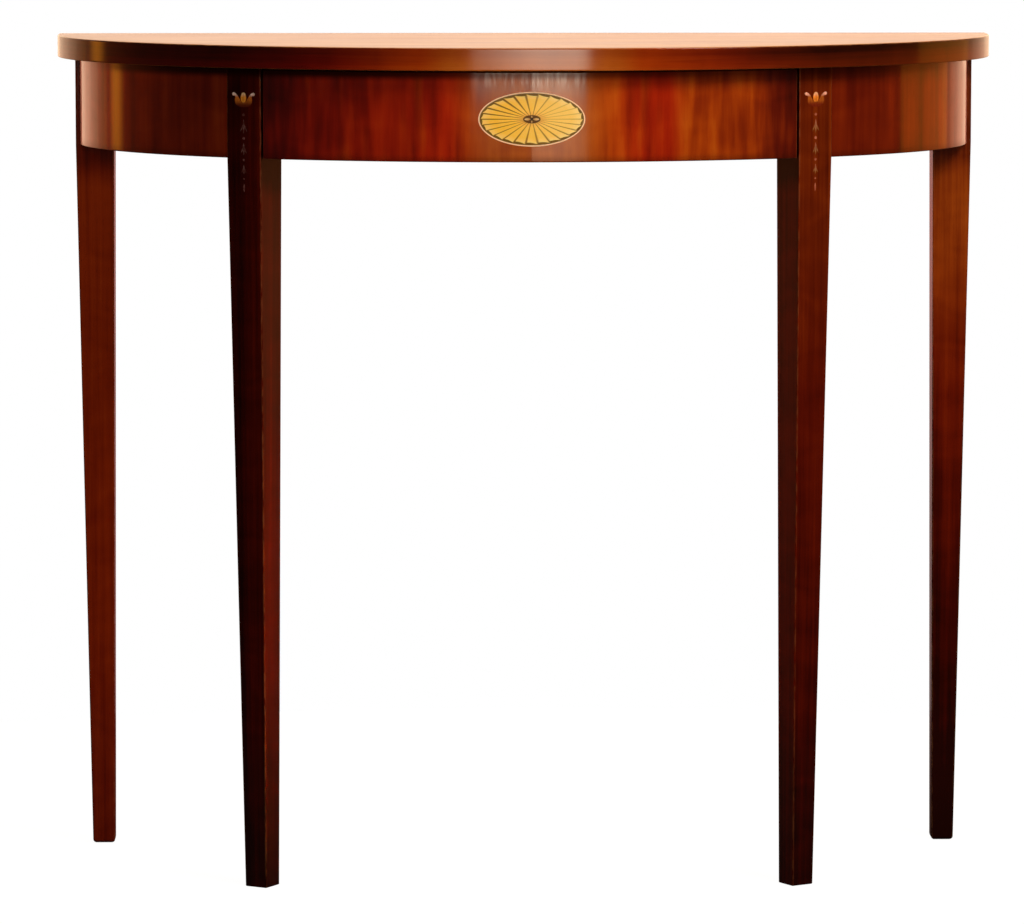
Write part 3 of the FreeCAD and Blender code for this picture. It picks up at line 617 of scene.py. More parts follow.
@dataclass(frozen=True)
class Gloss:
    """How a finish shines; the same all over the piece."""
    metallic: float = 0.0
    specular: float = 0.5
    coat: float = 0.0
    coat_roughness: float = 0.05
    coat_ior: float = 1.5
    tint: Colour = (1.0, 1.0, 1.0)   # of the shine under the coat


def finished(name: str, web: Web, colour: Operand, roughness: Operand, gloss: Gloss,
             normal: Union[Term, None] = None, coat: Union[Operand, None] = None) -> None:
    """End a web in one shader and the material's output.

    Args:
        name: the shader's label.
        web: the material's web.
        colour: its base colour.
        roughness: its roughness.
        gloss: what is the same all over it.
        normal: its bent normal, if it has one.
        coat: the coat's weight in place of the gloss's own, where the coat varies.
    """
    sockets = {"Base Color": colour, "Roughness": roughness, "Metallic": gloss.metallic,
               "Specular IOR Level": gloss.specular, "Specular Tint": gloss.tint,
               "Coat Weight": gloss.coat if coat is None else coat,
               "Coat Roughness": gloss.coat_roughness, "Coat IOR": gloss.coat_ior}
    if normal is not None:
        sockets["Normal"] = normal
    shader = web.add("ShaderNodeBsdfPrincipled", {"label": name}, sockets)
    web.end("ShaderNodeOutputMaterial", shader)


def new_material(name: str) -> tuple[bpy.types.Material, Web]:
    """A material with an empty web."""
    material = bpy.data.materials.new(name)
    material.use_nodes = True
    return material, Web(material.node_tree)


# ---------------------------------------------------------------- finishes
@dataclass(frozen=True)
class Tones:
    """Five colours of one wood, from its darkest lines to its palest."""
    colours: tuple[Colour, Colour, Colour, Colour, Colour]

    PLACES = (0.0, 0.28, 0.52, 0.76, 1.0)

    def ramp(self, web: Web, tone: Term) -> Term:
        """The colour at a tone from 0 to 1."""
        return web.ramp(tone, list(zip(self.PLACES, self.colours)))


CRIMSON = Tones(((0.012, 0.0006, 0.0003), (0.10, 0.002, 0.0005), (0.23, 0.006, 0.0006),
                 (0.36, 0.014, 0.0009), (0.46, 0.03, 0.002)))
AMBER = Tones(((0.014, 0.001, 0.0004), (0.11, 0.006, 0.0006), (0.25, 0.023, 0.0008),
               (0.40, 0.052, 0.0014), (0.52, 0.10, 0.004)))
RUSSET = Tones(((0.010, 0.0006, 0.0003), (0.055, 0.002, 0.0005), (0.13, 0.0065, 0.0008),
                (0.21, 0.016, 0.0012), (0.30, 0.035, 0.003)))
TAWNY = Tones(((0.014, 0.0015, 0.0004), (0.11, 0.013, 0.001), (0.25, 0.042, 0.003),
               (0.40, 0.085, 0.006), (0.52, 0.14, 0.02)))
# Pale tones of the top's face: faded wood, and painted light from above.
FADED_AND_LIT = Tones(((0.14, 0.03, 0.004), (0.26, 0.065, 0.008), (0.44, 0.13, 0.016),
               (0.58, 0.21, 0.03), (0.70, 0.30, 0.07)))


@dataclass(frozen=True)
class Shade:
    """How a mahogany's tone and hue vary over a piece, much of it painted shade and light.  This plain kind
    loses no tone and has only the painted shadow of the top's overhang close under it.
    """
    dust: float = 0.72               # painted shadow of the top's overhang: how much it darkens the wood close under the top
    dust_left: float = 0.26          # how much more it is on the left
    dust_right: float = 0.25         # how much less it is on the right
    dust_height: Span = (-11.5 * MM, -4.5 * MM)      # from the top's underside
    dust_end: Span = (400 * MM, 360 * MM)            # from the middle
    dust_left_run: Span = (0.0, -140 * MM)
    dust_right_run: Span = (100 * MM, 200 * MM)
    hem: float = 0.0                 # how much darker a frieze is close to its lower edge
    hem_height: Span = (8 * MM, 0.0)                 # from that edge

    def place(self, web: Web) -> tuple[Term, Term, Term]:
        """X, its distance from the middle, and height."""
        spot = web.spot()
        across = spot.part("X")
        return across, across.most(0 - across), spot.part("Z")

    def loss(self, web: Web) -> Operand:
        """The tones lost at a point."""
        return 0.0

    def figure(self, web: Web) -> Operand:
        """How much of the ribbons is left."""
        return 1.0

    def hue(self, web: Web, tone: Term, wood: Term) -> Term:
        """The wood's colour at a tone, drawn towards other tones' colour."""
        return wood

    def polished(self, web: Web, coat: Operand) -> Operand:
        """What is left of a coat of polish."""
        return coat

    def dusty(self, web: Web) -> Term:
        """The painted shadow under the top, and the darkening at the hem if there is one.

        Args:
            web: the material's web.

        Returns:
            How much the painted shadow and the hem's darkening darken a point.
        """
        across, away, height = self.place(web)
        close = (height - SIZES.frieze_top).step(*self.dust_height) * away.step(*self.dust_end)
        dark = close * (self.dust + across.step(*self.dust_left_run) * self.dust_left
                        - across.step(*self.dust_right_run) * self.dust_right)
        if not self.hem:
            return dark
        return dark.most((height - SIZES.frieze_bottom).step(*self.hem_height) * self.hem)


@dataclass(frozen=True)
class FrontShade(Shade):
    """A front that is tawny in its middle, amber further out, and red and darker towards its ends and on its
    left, the darkening partly painted shade.
    """
    left: float = 0.04               # painted shade: tones lost on the left, the side turned from the lamps
    left_run: Span = (20 * MM, -300 * MM)
    ends: float = 0.60               # tones lost towards both ends: the wood's darker ends, and painted shade where the bent front turns from the lamps
    ends_run: Span = (175 * MM, 270 * MM)            # from the middle, like what follows
    tawny_to: float = 62 * MM        # where tawny wood ends, and amber after it
    amber_to: float = 100 * MM
    fade: float = 10 * MM            # a third of the run over which tawny wood gives way
    tawny_right: float = 0.0         # how tawny it is right of both
    tawny_right_run: Span = (100 * MM, 300 * MM)
    amber_right: float = 0.0         # how amber it is far out on the right
    amber_right_run: Span = (120 * MM, 140 * MM)
    calm: float = 0.6                # how much of the ribbons tawny wood lacks
    high: float = 0.0                # tones that the upper edge of the top loses against the lower

    def loss(self, web: Web) -> Term:
        """The tones lost at a point."""
        across, away, height = self.place(web)
        # Painted shade: darker on the left and towards both ends, where the bent front turns from the lamps.
        loss = across.step(*self.left_run) * self.left + away.step(*self.ends_run) * self.ends
        return loss + (height.step(SIZES.frieze_top, SIZES.top_z) - 0.5) * self.high

    def figure(self, web: Web) -> Term:
        """How much of the ribbons is left: less where the wood is tawny."""
        away = self.place(web)[1]
        return 1 - away.step(self.tawny_to + 2 * self.fade, self.tawny_to - self.fade) * self.calm

    def hue(self, web: Web, tone: Term, wood: Term) -> Term:
        """The wood's colour, drawn to amber and then to tawny towards the middle.

        Args:
            web: the material's web.
            tone: the wood's tone.
            wood: its colour elsewhere.

        Returns:
            The colour.
        """
        across, away, _ = self.place(web)
        far = across.step(*self.amber_right_run) * self.amber_right
        amber = web.mix(away.step(self.amber_to, self.tawny_to).most(far), wood, AMBER.ramp(web, tone))
        near = away.step(self.tawny_to + self.fade, self.tawny_to - 2 * self.fade)
        tawny = near.most(across.step(*self.tawny_right_run) * self.tawny_right)
        return web.mix(tawny, amber, TAWNY.ramp(web, tone))


@dataclass(frozen=True)
class LegShade(Shade):
    """A leg painted darker towards its foot as shade, and tawny higher up."""
    feet: float = 0.0                # painted shade: tones lost towards the foot
    feet_run: Span = (200 * MM, 40 * MM)             # height above the floor
    right_feet: float = 0.0          # painted shade: tones that a right leg loses there and above
    right_feet_run: Span = (560 * MM, 120 * MM)
    right_run: Span = (-100 * MM, 100 * MM)          # X
    tawny: float = 0.0               # how tawny it is in its upper part
    tawny_run: Span = (420 * MM, 680 * MM)           # height above the floor

    def loss(self, web: Web) -> Term:
        """The tones lost at a point."""
        across, _, height = self.place(web)
        # Painted shade: darker towards the foot, and more so on the right legs.
        right = across.step(*self.right_run) * self.right_feet
        return height.step(*self.feet_run) * self.feet + height.step(*self.right_feet_run) * right

    def hue(self, web: Web, tone: Term, wood: Term) -> Term:
        """The wood's colour, drawn to tawny in the leg's upper part."""
        return web.mix(self.place(web)[2].step(*self.tawny_run) * self.tawny, wood, TAWNY.ramp(web, tone))


@dataclass(frozen=True)
class BackLegShade(LegShade):
    """A back leg, with painted shadow close under the frieze."""
    feet: float = 0.12
    right_feet: float = 0.55
    below: float = 0.32              # painted shadow: tones lost close under the frieze
    below_run: Span = (-50 * MM, -2 * MM)            # from its lower edge

    def loss(self, web: Web) -> Term:
        """The tones lost at a point."""
        height = self.place(web)[2] - SIZES.frieze_bottom
        # Painted shadow under the frieze.
        return LegShade.loss(self, web) + height.step(*self.below_run) * self.below


@dataclass(frozen=True)
class FrontLegShade(LegShade):
    """A front leg, whose inner side keeps the wood's own colour, has lost most of its polish and has painted
    shadow under the drawer, with settings for painted shade that darkens that side upwards and the face
    towards its outer arris.
    """
    feet: float = 0.22
    right_feet: float = 0.18
    inner: float = 0.6               # painted shadow: tones that the inner side loses close under the drawer
    inner_run: Span = (-35 * MM, -3 * MM)            # from the frieze's lower edge
    inner_high: float = 0.0          # painted shade: tones by which that side darkens upwards
    inner_high_run: Span = (200 * MM, 600 * MM)      # height above the floor
    outer: float = 0.0               # painted shade: tones by which the face darkens from its inner to its outer arris
    inner_rubbed: float = 0.75       # how much of the inner side's polish is gone
    arris_run: Span = (0.4 * MM, -0.9 * MM)          # X from the inner arris, over which all this starts
    face_run: Span = (-3.8 * MM, -1.4 * MM)          # X from the outer arris and from the inner one

    def inner_side(self, web: Web) -> Term:
        """1 on the inner side and 0 on the other sides."""
        return (self.place(web)[1] - SIZES.arris(-1)).step(*self.arris_run)

    def loss(self, web: Web) -> Term:
        """The tones lost at a point, on the inner side and on the face.

        Args:
            web: the material's web.

        Returns:
            The loss.
        """
        _, away, height = self.place(web)
        side = self.inner_side(web)
        # Painted shadow under the drawer, and painted shade up the inner side and across the face.
        under = (height - SIZES.frieze_bottom).step(*self.inner_run) * self.inner
        inner = under + (height.step(*self.inner_high_run) - 0.35) * self.inner_high
        inward = away.step(SIZES.arris(1) + self.face_run[0], SIZES.arris(-1) + self.face_run[1])
        return LegShade.loss(self, web) + side * inner + (0.5 - inward) * (1 - side) * self.outer

    def hue(self, web: Web, tone: Term, wood: Term) -> Term:
        """The wood's colour, drawn to tawny in the leg's upper part but not on its inner side."""
        return web.mix(self.inner_side(web), LegShade.hue(self, web, tone, wood), wood)

    def polished(self, web: Web, coat: Operand) -> Term:
        """What is left of a coat of polish."""
        return (1 - self.inner_side(web) * self.inner_rubbed) * coat


@dataclass(frozen=True)
class Swell:
    """How the coat of polish varies.

    By X, it swells from the first place to the second and falls from the third to the fourth.  Close under
    the top it is streaked.
    """
    gain: float = 0.0
    places: tuple[float, float, float, float] = (-2.0, -1.0, 1.0, 2.0)
    streaks: float = 0.0             # how strongly it is streaked
    streaks_run: Span = (-19 * MM, -9 * MM)          # height from the top's underside

    STREAK_WAVES = (330.0, 330.0, 34.0)
    STREAK_RUN = (0.36, 0.66)        # noise at which a streak starts, and is whole
    STREAK_SHARE = 0.45              # of the streaks' height, which leaves the coat's mean as it was

    def coat(self, web: Web, plain: float) -> Operand:
        """The coat's weight.

        Args:
            web: the material's web.
            plain: the weight where nothing changes it.

        Returns:
            The weight, a number if nothing changes it anywhere.
        """
        coat = plain
        if self.gain:
            grow_from, grown, fall_from, fallen = self.places
            across = web.spot().part("X")
            coat = across.step(grow_from, grown) * across.step(fallen, fall_from) * self.gain + plain
        if self.streaks:
            spot = web.spot()
            lines = web.noise(spot, self.STREAK_WAVES, 2.0, 0.7).step(*self.STREAK_RUN) - self.STREAK_SHARE
            high = (spot.part("Z") - SIZES.frieze_top).step(*self.streaks_run)
            coat = (1 + lines * high * self.streaks) * coat
        return coat


@dataclass(frozen=True)
class Mahogany:
    """Mahogany under clear polish, with soft ribbons, fine fibres, dark pores and edges rubbed pale.

    Part of its colour is a broad, coloured shine, as fibres that run aslant give it.
    """
    name: str
    grain: Grain
    cool: Tones = CRIMSON
    warm: Tones = AMBER
    tone: float = 0.56
    ribbon_width: float = 22 * MM
    ribbon_length: float = 0.5
    ribbons: float = 1.1             # how many tones the ribbons span
    lines: float = 0.12              # how dark the thin lines are, as a share of the ribbons
    hues: Span = (0.36, 0.62)        # noise at which the cool tones start to give way, and are gone
    streaks: float = 0.6
    fibres: float = 0.2
    mottle: float = 0.3
    shade: Shade = Shade()
    swell: Swell = Swell()
    under_top: bool = False          # whether it has painted shadow close under the top's overhang
    rubbed: Colour = (0.42, 0.16, 0.06)
    rub: float = 0.5
    roughness: float = 0.5
    gloss: Gloss = Gloss(metallic=0.45, specular=0.5, coat=0.22, coat_roughness=0.08, coat_ior=1.8,
                         tint=RED_SHINE)

    # Waves to a metre, the second along the grain and the others across it.
    FIBRE_WAVES = (700.0, 9.0, 700.0)
    PORE_WAVES = (3800.0, 110.0, 3800.0)
    MOTTLE_WAVES = (26.0, 40.0, 26.0)
    SMUDGE_WAVES = (9.0, 7.0, 9.0)
    RUB_WAVES = (500.0, 90.0, 500.0)
    SURFACE_WAVES = (16.0, 9.0, 16.0)
    LINES_AWAY = (9.1, 4.2, 2.6)                     # parts one noise from another
    HUES_AWAY = (3.7, 1.3, 5.1)
    LINE_RUN = (0.02, 0.0)                           # distance of a noise from its mean that draws a line
    PORE_RUN = (0.66, 0.74)                          # noise at which a pore starts, and is whole
    RUB_RUN = (0.35, 0.65)
    PORE_DARK = 0.35
    PORE_MATT = 0.1
    PORE_DEEP = 0.03
    SMUDGE_MATT = 0.14
    DUST_MATT = 0.85                                 # share of the coat that the painted shadow takes, a painted dimming of the reflection there
    RELIEF = 0.12 * MM

    def ribbon_waves(self, wide: float, long: float) -> Colour:
        """Waves to a metre, some times finer than the ribbons across and along the grain."""
        return wide / self.ribbon_width, long / self.ribbon_length, wide / self.ribbon_width

    def tones(self, web: Web, place: Term) -> Term:
        """The wood's tone from 0 to 1: its figure, fibres and mottle, less the shade's loss, much of which
        is painted shade.

        Args:
            web: the material's web.
            place: a vector whose Y runs along the grain.

        Returns:
            The tone.
        """
        ribbons = web.noise(place, self.ribbon_waves(1.0, 1.0), 1.5, 0.45, 0.15)
        streaks = web.noise(place, self.ribbon_waves(2.7, 2.2), 2.0, 0.5)
        fibres = web.noise(place, self.FIBRE_WAVES, 3.0, 0.65)
        mottle = web.noise(place, self.MOTTLE_WAVES, 1.0, 0.5, 0.6)
        figure = (ribbons - 0.5) * self.ribbons + (streaks - 0.5) * self.streaks
        if self.lines:
            noise = web.noise(place + self.LINES_AWAY, self.ribbon_waves(1.6, 1.4), 0.0, 0.5)
            line = (noise - 0.5).most(0.5 - noise).step(*self.LINE_RUN)
            figure = figure - line * (self.lines * self.ribbons)
        return (self.tone + figure * self.shade.figure(web) + (fibres - 0.5) * self.fibres
                + (mottle - 0.5) * self.mottle - self.shade.loss(web))

    def make(self) -> bpy.types.Material:
        """Build the material."""
        material, web = new_material(self.name)
        place = web.grain_place(self.grain)
        tone = self.tones(web, place)
        hues = web.noise(place + self.HUES_AWAY, self.ribbon_waves(0.6, 1.0), 1.0, 0.5).step(*self.hues)
        wood = web.mix(hues, self.cool.ramp(web, tone), self.warm.ramp(web, tone))
        pores = web.noise(place, self.PORE_WAVES, 1.0, 0.4).step(*self.PORE_RUN)
        pored = web.mix(pores * self.PORE_DARK, self.shade.hue(web, tone, wood), self.cool.colours[1])
        rub = web.wear() * web.noise(place, self.RUB_WAVES, 3.0, 0.6).step(*self.RUB_RUN)
        colour = web.mix(rub * self.rub, pored, self.rubbed)
        coat = self.shade.polished(web, self.swell.coat(web, self.gloss.coat))
        # Painted shadow under the top: the colour darkens to the wood's darkest tone and the coat's
        # reflection is dimmed.
        if self.under_top:
            dust = self.shade.dusty(web)
            colour = web.mix(dust, colour, self.cool.colours[0])
            coat = (1 - dust * self.DUST_MATT) * coat
        smudge = web.noise(place, self.SMUDGE_WAVES, 3.0, 0.6)
        roughness = self.roughness + (smudge - 0.5) * self.SMUDGE_MATT + pores * self.PORE_MATT
        waves = web.noise(place, self.SURFACE_WAVES, 1.0, 0.5) - pores * self.PORE_DEEP
        finished(self.name, web, colour, roughness, self.gloss, web.bump(waves, self.RELIEF), coat)
        return material


@dataclass(frozen=True)
class PlainWood:
    """Unpolished secondary timber: darker rings, fine fibres and a dusty surface."""
    name: str
    grain: Grain
    pale: Colour
    ring: Colour
    ring_width: float = 7 * MM
    roughness: float = 0.62

    FIBRE_WAVES = (900.0, 14.0, 900.0)
    DUST_WAVES = 14.0
    DUST = (0.55, 0.5, 0.45)
    DUSTY = 0.5
    RING_PLACES = (0.25, 0.6)        # tones at which the wood is pale, and is a ring
    FIBRE_DARK = 0.6
    FIBRE_MATT = 0.2
    RELIEF = 0.15 * MM

    def make(self) -> bpy.types.Material:
        """Build the material."""
        material, web = new_material(self.name)
        place = web.grain_place(self.grain)
        rings = web.noise(place, (1 / self.ring_width, 0.9, 0.5 / self.ring_width), 2.0, 0.5, 0.25)
        fibres = web.noise(place, self.FIBRE_WAVES, 3.0, 0.6)
        dust = web.even_noise(place, self.DUST_WAVES, 4.0, 0.6)
        tone = rings * 1.5 - 0.25 + (fibres - 0.5) * self.FIBRE_DARK
        wood = web.ramp(tone, list(zip(self.RING_PLACES, (self.pale, self.ring))))
        colour = web.mix((dust - 0.35) * self.DUSTY, wood, web.mix(1.0, wood, self.DUST, "MULTIPLY"))
        roughness = self.roughness + (fibres - 0.5) * self.FIBRE_MATT
        finished(self.name, web, colour, roughness, Gloss(specular=0.3), web.bump(fibres, self.RELIEF))
        return material


@dataclass(frozen=True)
class Steel:
    """Dull drawn steel with brown tarnish."""
    name: str = "dull_steel"
    metal: Colour = (0.34, 0.33, 0.31)
    brown: Colour = (0.09, 0.05, 0.03)
    tarnish_waves: float = 420.0
    tarnish_run: Span = (0.45, 0.68)                 # noise at which tarnish starts, and is whole
    tarnish_dark: float = 0.7
    bright: float = 0.35             # roughness of bare metal, and what tarnish adds
    relief: float = 0.05 * MM

    def make(self) -> bpy.types.Material:
        """Build the material."""
        material, web = new_material(self.name)
        tarnish = web.even_noise(web.grain_place(Grain.UP), self.tarnish_waves, 4.0, 0.65)
        tarnish = tarnish.step(*self.tarnish_run)
        colour = web.mix(tarnish * self.tarnish_dark, self.metal, self.brown)
        finished(self.name, web, colour, self.bright + tarnish * self.bright, Gloss(metallic=0.9),
                 web.bump(tarnish, self.relief))
        return material


INLAY_POLISH = Gloss(specular=0.1, coat=0.1, coat_roughness=0.08, coat_ior=1.8)
FLECK_WAVES = 900.0                  # flecks to a metre in the fan's woods
FLECK_RELIEF = 0.02 * MM


def inlaid(material: bpy.types.Material, web: Web, colour: Term, flecks: Term) -> bpy.types.Material:
    """End an inlay's web, its flecks slightly proud under a thin polish, and return the material."""
    finished(material.name, web, colour, 0.4 + flecks * 0.1, INLAY_POLISH, web.bump(flecks, FLECK_RELIEF))
    return material


@dataclass(frozen=True)
class FanRay:
    """A fan's ray of pale wood, scorched in hot sand at both sides and at its root.

    On its map, U counts the rays and V goes from the root to the tip.
    """
    name: str = "fan_ray_wood"
    gold: Colour = (0.97, 0.50, 0.030)
    cream: Colour = (1.0, 0.68, 0.22)
    scorch: Colour = (0.22, 0.075, 0.003)
    root: Colour = (0.84, 0.34, 0.06)
    line: float = 0.14               # width of the scorched edge at the tip, as a share of the ray's width
    root_line: float = 0.03          # what it gains down to the root
    right_run: Span = (-20 * MM, 30 * MM)            # painted highlight: X over which the fan grows paler to the right, its scorched edges fainter
    tip_run: Span = (0.75, 1.0)                      # V over which a ray grows paler to its tip
    root_run: Span = (0.26, 0.0)                     # V over which it is scorched to its root
    scorch_run: Span = (1.0, 0.3)                    # shares of the scorched edge, over which it darkens

    def make(self) -> bpy.types.Material:
        """Build the material."""
        material, web = new_material(self.name)
        place, spot = web.surface(), web.spot()
        up = place.part("Y")
        # Painted highlight: the fan grows paler to the right, and its scorched edges fade there.
        right = spot.part("X").step(*self.right_run)
        flecks = web.even_noise(spot, FLECK_WAVES, 2.0, 0.6)
        tone = web.noise(place, (1.0, 0.7, 1.0), 2.0, 0.5)
        pale = tone * 0.4 + (flecks - 0.5) * 0.5 + up.step(*self.tip_run) * 0.4 + right * 0.35
        wood = web.mix(pale - 0.1, self.gold, self.cream)
        across = place.part("X").fraction()
        near = across.least(1 - across)
        reach = self.line + (1 - up) * self.root_line
        side = (near / reach).step(*self.scorch_run) * (0.75 + flecks * 0.4) * (1 - right * 0.6)
        rooted = web.mix(up.step(*self.root_run) * 0.6, wood, self.root)
        colour = web.mix(side.least(1.0), rooted, self.scorch)
        return inlaid(material, web, colour, flecks)


@dataclass(frozen=True)
class InlayWood:
    """A small piece of dyed or pale wood: mottled, shaded from its foot to its tip, and worn."""
    name: str
    tip: Colour
    body: Colour
    foot: Colour
    mottled: float = 0.5
    fleck: float = 700.0
    worn: float = 0.0                # how much of the polished mahogany beside it shows through
    ground: Colour = (0.10, 0.010, 0.001)
    buds: Union[tuple[Colour, Colour], None] = None  # lower and upper colour where V passes 1

    MOTTLE = (0.42, 0.30, 0.20)
    STRIPE_WAVES = (22.0, 0.8, 1.0)
    WEAR_WAVES = 240.0
    WEAR_RUN = (0.38, 0.66)
    BODY_RUN = (0.1, 0.6)            # V over which each colour gives way to the next
    TIP_RUN = (0.66, 0.9)
    BUD_RUN = (1.0, 1.02)
    BUD_TIP_RUN = (1.5, 1.9)

    @classmethod
    def plain(cls, name: str, colour: Colour, mottled: float) -> "InlayWood":
        """Wood of one dye from foot to tip."""
        return cls(name, colour, colour, colour, mottled)

    def make(self) -> bpy.types.Material:
        """Build the material."""
        material, web = new_material(self.name)
        place, spot = web.surface(), web.spot()
        up = place.part("Y")
        flecks = web.even_noise(spot, self.fleck, 3.0, 0.6)
        stripes = web.noise(place, self.STRIPE_WAVES, 1.0, 0.6)
        shaded = web.mix(up.step(*self.BODY_RUN), self.foot, self.body)
        wood = web.mix(up.step(*self.TIP_RUN), shaded, self.tip)
        if self.buds:
            bud = web.mix(up.step(*self.BUD_TIP_RUN), *self.buds)
            wood = web.mix(up.step(*self.BUD_RUN), wood, bud)
        shade = ((flecks + stripes - 0.9) * self.mottled * 2).most(0.0).least(1.0)
        mottled = web.mix(shade, wood, web.mix(1.0, wood, self.MOTTLE, "MULTIPLY"))
        bare = web.even_noise(spot, self.WEAR_WAVES, 3.0, 0.7).step(*self.WEAR_RUN) * self.worn
        return inlaid(material, web, web.mix(bare, mottled, self.ground), flecks)


@dataclass(frozen=True)
class FanEye:
    """The fan's dark oval, nearly black in its middle."""
    height: float                    # of its middle above the floor
    black_half: float = 2.0 * MM     # half the width of the black middle
    name: str = "fan_eye_wood"
    brown: Colour = (0.13, 0.045, 0.004)
    black: Colour = (0.02, 0.006, 0.001)

    def make(self) -> bpy.types.Material:
        """Build the material; the distance from the middle is the root of the sum of both squares."""
        material, web = new_material(self.name)
        spot = web.spot()
        across, up = spot.part("X"), spot.part("Z") - self.height
        away = (across * across + up * up) ** 0.5
        flecks = web.even_noise(spot, FLECK_WAVES, 3.0, 0.6)
        wood = web.mix((flecks - 0.3) * 0.8, self.brown, self.black)
        colour = web.mix(away.step(self.black_half, 0.5 * self.black_half), wood, self.black)
        return inlaid(material, web, colour, flecks)


class Finishes:
    """Every material of the table, each made once."""

    def __init__(self) -> None:
        """Make them all."""
        self.leaves = {side: self.leaf(side).make() for side in Side}
        self.bands = {side: self.band(side).make() for side in Side}
        self.legs = {(row, side): self.leg(row, side).make() for row in Row for side in Side}
        self.top, self.rim = self.upper_face().make(), self.edge().make()
        deal = {"pale": (0.50, 0.30, 0.13), "ring": (0.32, 0.155, 0.05)}
        self.deal_along = PlainWood("deal_along", Grain.ALONG, **deal).make()
        self.deal_deep = PlainWood("deal_deep", Grain.DEEP, **deal).make()
        lining = {"pale": (0.33, 0.17, 0.07), "ring": (0.21, 0.095, 0.035), "ring_width": 4 * MM}
        self.lining_along = PlainWood("drawer_lining_along", Grain.ALONG, **lining).make()
        self.lining_deep = PlainWood("drawer_lining_deep", Grain.DEEP, **lining).make()
        self.steel = Steel().make()
        self.ray = FanRay().make()
        self.line = InlayWood.plain("fan_line_wood", (1.0, 0.62, 0.36), 0.3).make()
        self.field = InlayWood.plain("fan_field_wood", (0.19, 0.09, 0.008), 0.6).make()
        self.eye = FanEye(SIZES.fan_height).make()
        self.star = InlayWood("fan_star_wood", (0.82, 0.56, 0.25), (0.72, 0.40, 0.12), (0.5, 0.24, 0.06),
                              0.3).make()
        self.tulips = {side: self.tulip(side).make() for side in Side}
        self.husks = {side: self.husk(side).make() for side in Side}

    @staticmethod
    def leaf(side: Side) -> Mahogany:
        """The drawer's leaves come from one flitch; the right one is polished thicker beside the seam, and
        the left one's lower tone is painted shade.

        Args:
            side: the leaf's side.

        Returns:
            Its finish.
        """
        right = side is Side.RIGHT
        shade = FrontShade(amber_right=0.9, hem=0.45)
        if not right:
            shade = replace(shade, tawny_to=50 * MM, amber_to=75 * MM, ends=0.40)
        swell = Swell(0.38, (-1.0, 0.0, 22 * MM, 55 * MM)) if right else Swell()
        # The left leaf's lower tone is painted shade.
        return Mahogany(f"drawer_front_{side.word}_mahogany", Grain.WRAPPED, tone=0.685 if right else 0.62,
                        ribbon_width=14 * MM, ribbon_length=0.13, ribbons=0.9, lines=0.0,
                        hues=(0.52, 0.78), streaks=0.4, fibres=0.1, shade=shade,
                        swell=replace(swell, streaks=0.9), under_top=True,
                        gloss=replace(Mahogany.gloss, coat=0.40))

    @staticmethod
    def band(side: Side) -> Mahogany:
        """The side friezes' veneer; the left one is paler."""
        return Mahogany(f"side_frieze_{side.word}_mahogany", Grain.WRAPPED, RUSSET, RUSSET,
                        0.58 if side is Side.RIGHT else 0.68, ribbon_width=20 * MM, ribbon_length=0.3,
                        ribbons=0.8, lines=0.0, streaks=0.45, fibres=0.12, shade=Shade(hem=0.45),
                        under_top=True)

    @staticmethod
    def leg(row: Row, side: Side) -> Mahogany:
        """Each leg has its own tone, painted shade and light for how the lamps fall on it: the front left
        one is the darkest.

        Args:
            row: its pair of legs.
            side: its side of the table.

        Returns:
            Its finish.
        """
        # Painted shade and light: the front left leg, turned from the lamps, gets the lowest tone.
        tone, shade = {
            (Row.FRONT, Side.LEFT): (0.24, FrontLegShade(outer=0.24)),
            (Row.FRONT, Side.RIGHT): (0.50, FrontLegShade(inner_high=0.3, tawny=0.3)),
            (Row.BACK, Side.LEFT): (0.70, BackLegShade(tawny=0.08)),
            (Row.BACK, Side.RIGHT): (0.64, BackLegShade(tawny=0.68))}[row, side]
        gloss = replace(Mahogany.gloss, specular=0.3, coat=0.08, coat_roughness=0.11)
        return Mahogany(f"{row.value}_leg_{side.word}_mahogany", Grain.UP, RUSSET, RUSSET, tone,
                        ribbon_width=9 * MM, ribbons=0.4, streaks=0.4, rub=0.18, shade=shade,
                        under_top=row is Row.FRONT, gloss=gloss)

    @staticmethod
    def upper_face() -> Mahogany:
        """The top's face, pale: faded by daylight, and painted light from above as well."""
        return Mahogany("top_mahogany", Grain.ALONG, FADED_AND_LIT, FADED_AND_LIT, 0.6, 30 * MM, ribbons=0.35, streaks=0.2,
                        fibres=0.15, mottle=0.15, rub=0.25,
                        gloss=Gloss(metallic=0.1, specular=0.1, coat=0.24, coat_roughness=0.12))

    @staticmethod
    def edge() -> Mahogany:
        """The top's edge, polished thicker in the middle."""
        # Painted shade: the edge darkens towards its ends and a little on the left, where it turns from the
        # lamps.
        shade = FrontShade(left=0.02, ends=0.47, ends_run=(30 * MM, 280 * MM), tawny_to=90 * MM,
                           amber_to=200 * MM, high=0.25, tawny_right=0.7)
        gloss = Gloss(metallic=0.35, specular=0.2, coat=0.2, coat_roughness=0.11, coat_ior=1.7,
                      tint=(1.0, 0.2, 0.03))
        return Mahogany("top_edge_mahogany", Grain.WRAPPED, tone=0.62, ribbon_width=16 * MM, ribbons=0.35,
                        streaks=0.25, fibres=0.12, mottle=0.12, rub=0.3, shade=shade,
                        swell=Swell(0.45, (-60 * MM, 10 * MM, 35 * MM, 80 * MM)), gloss=gloss)

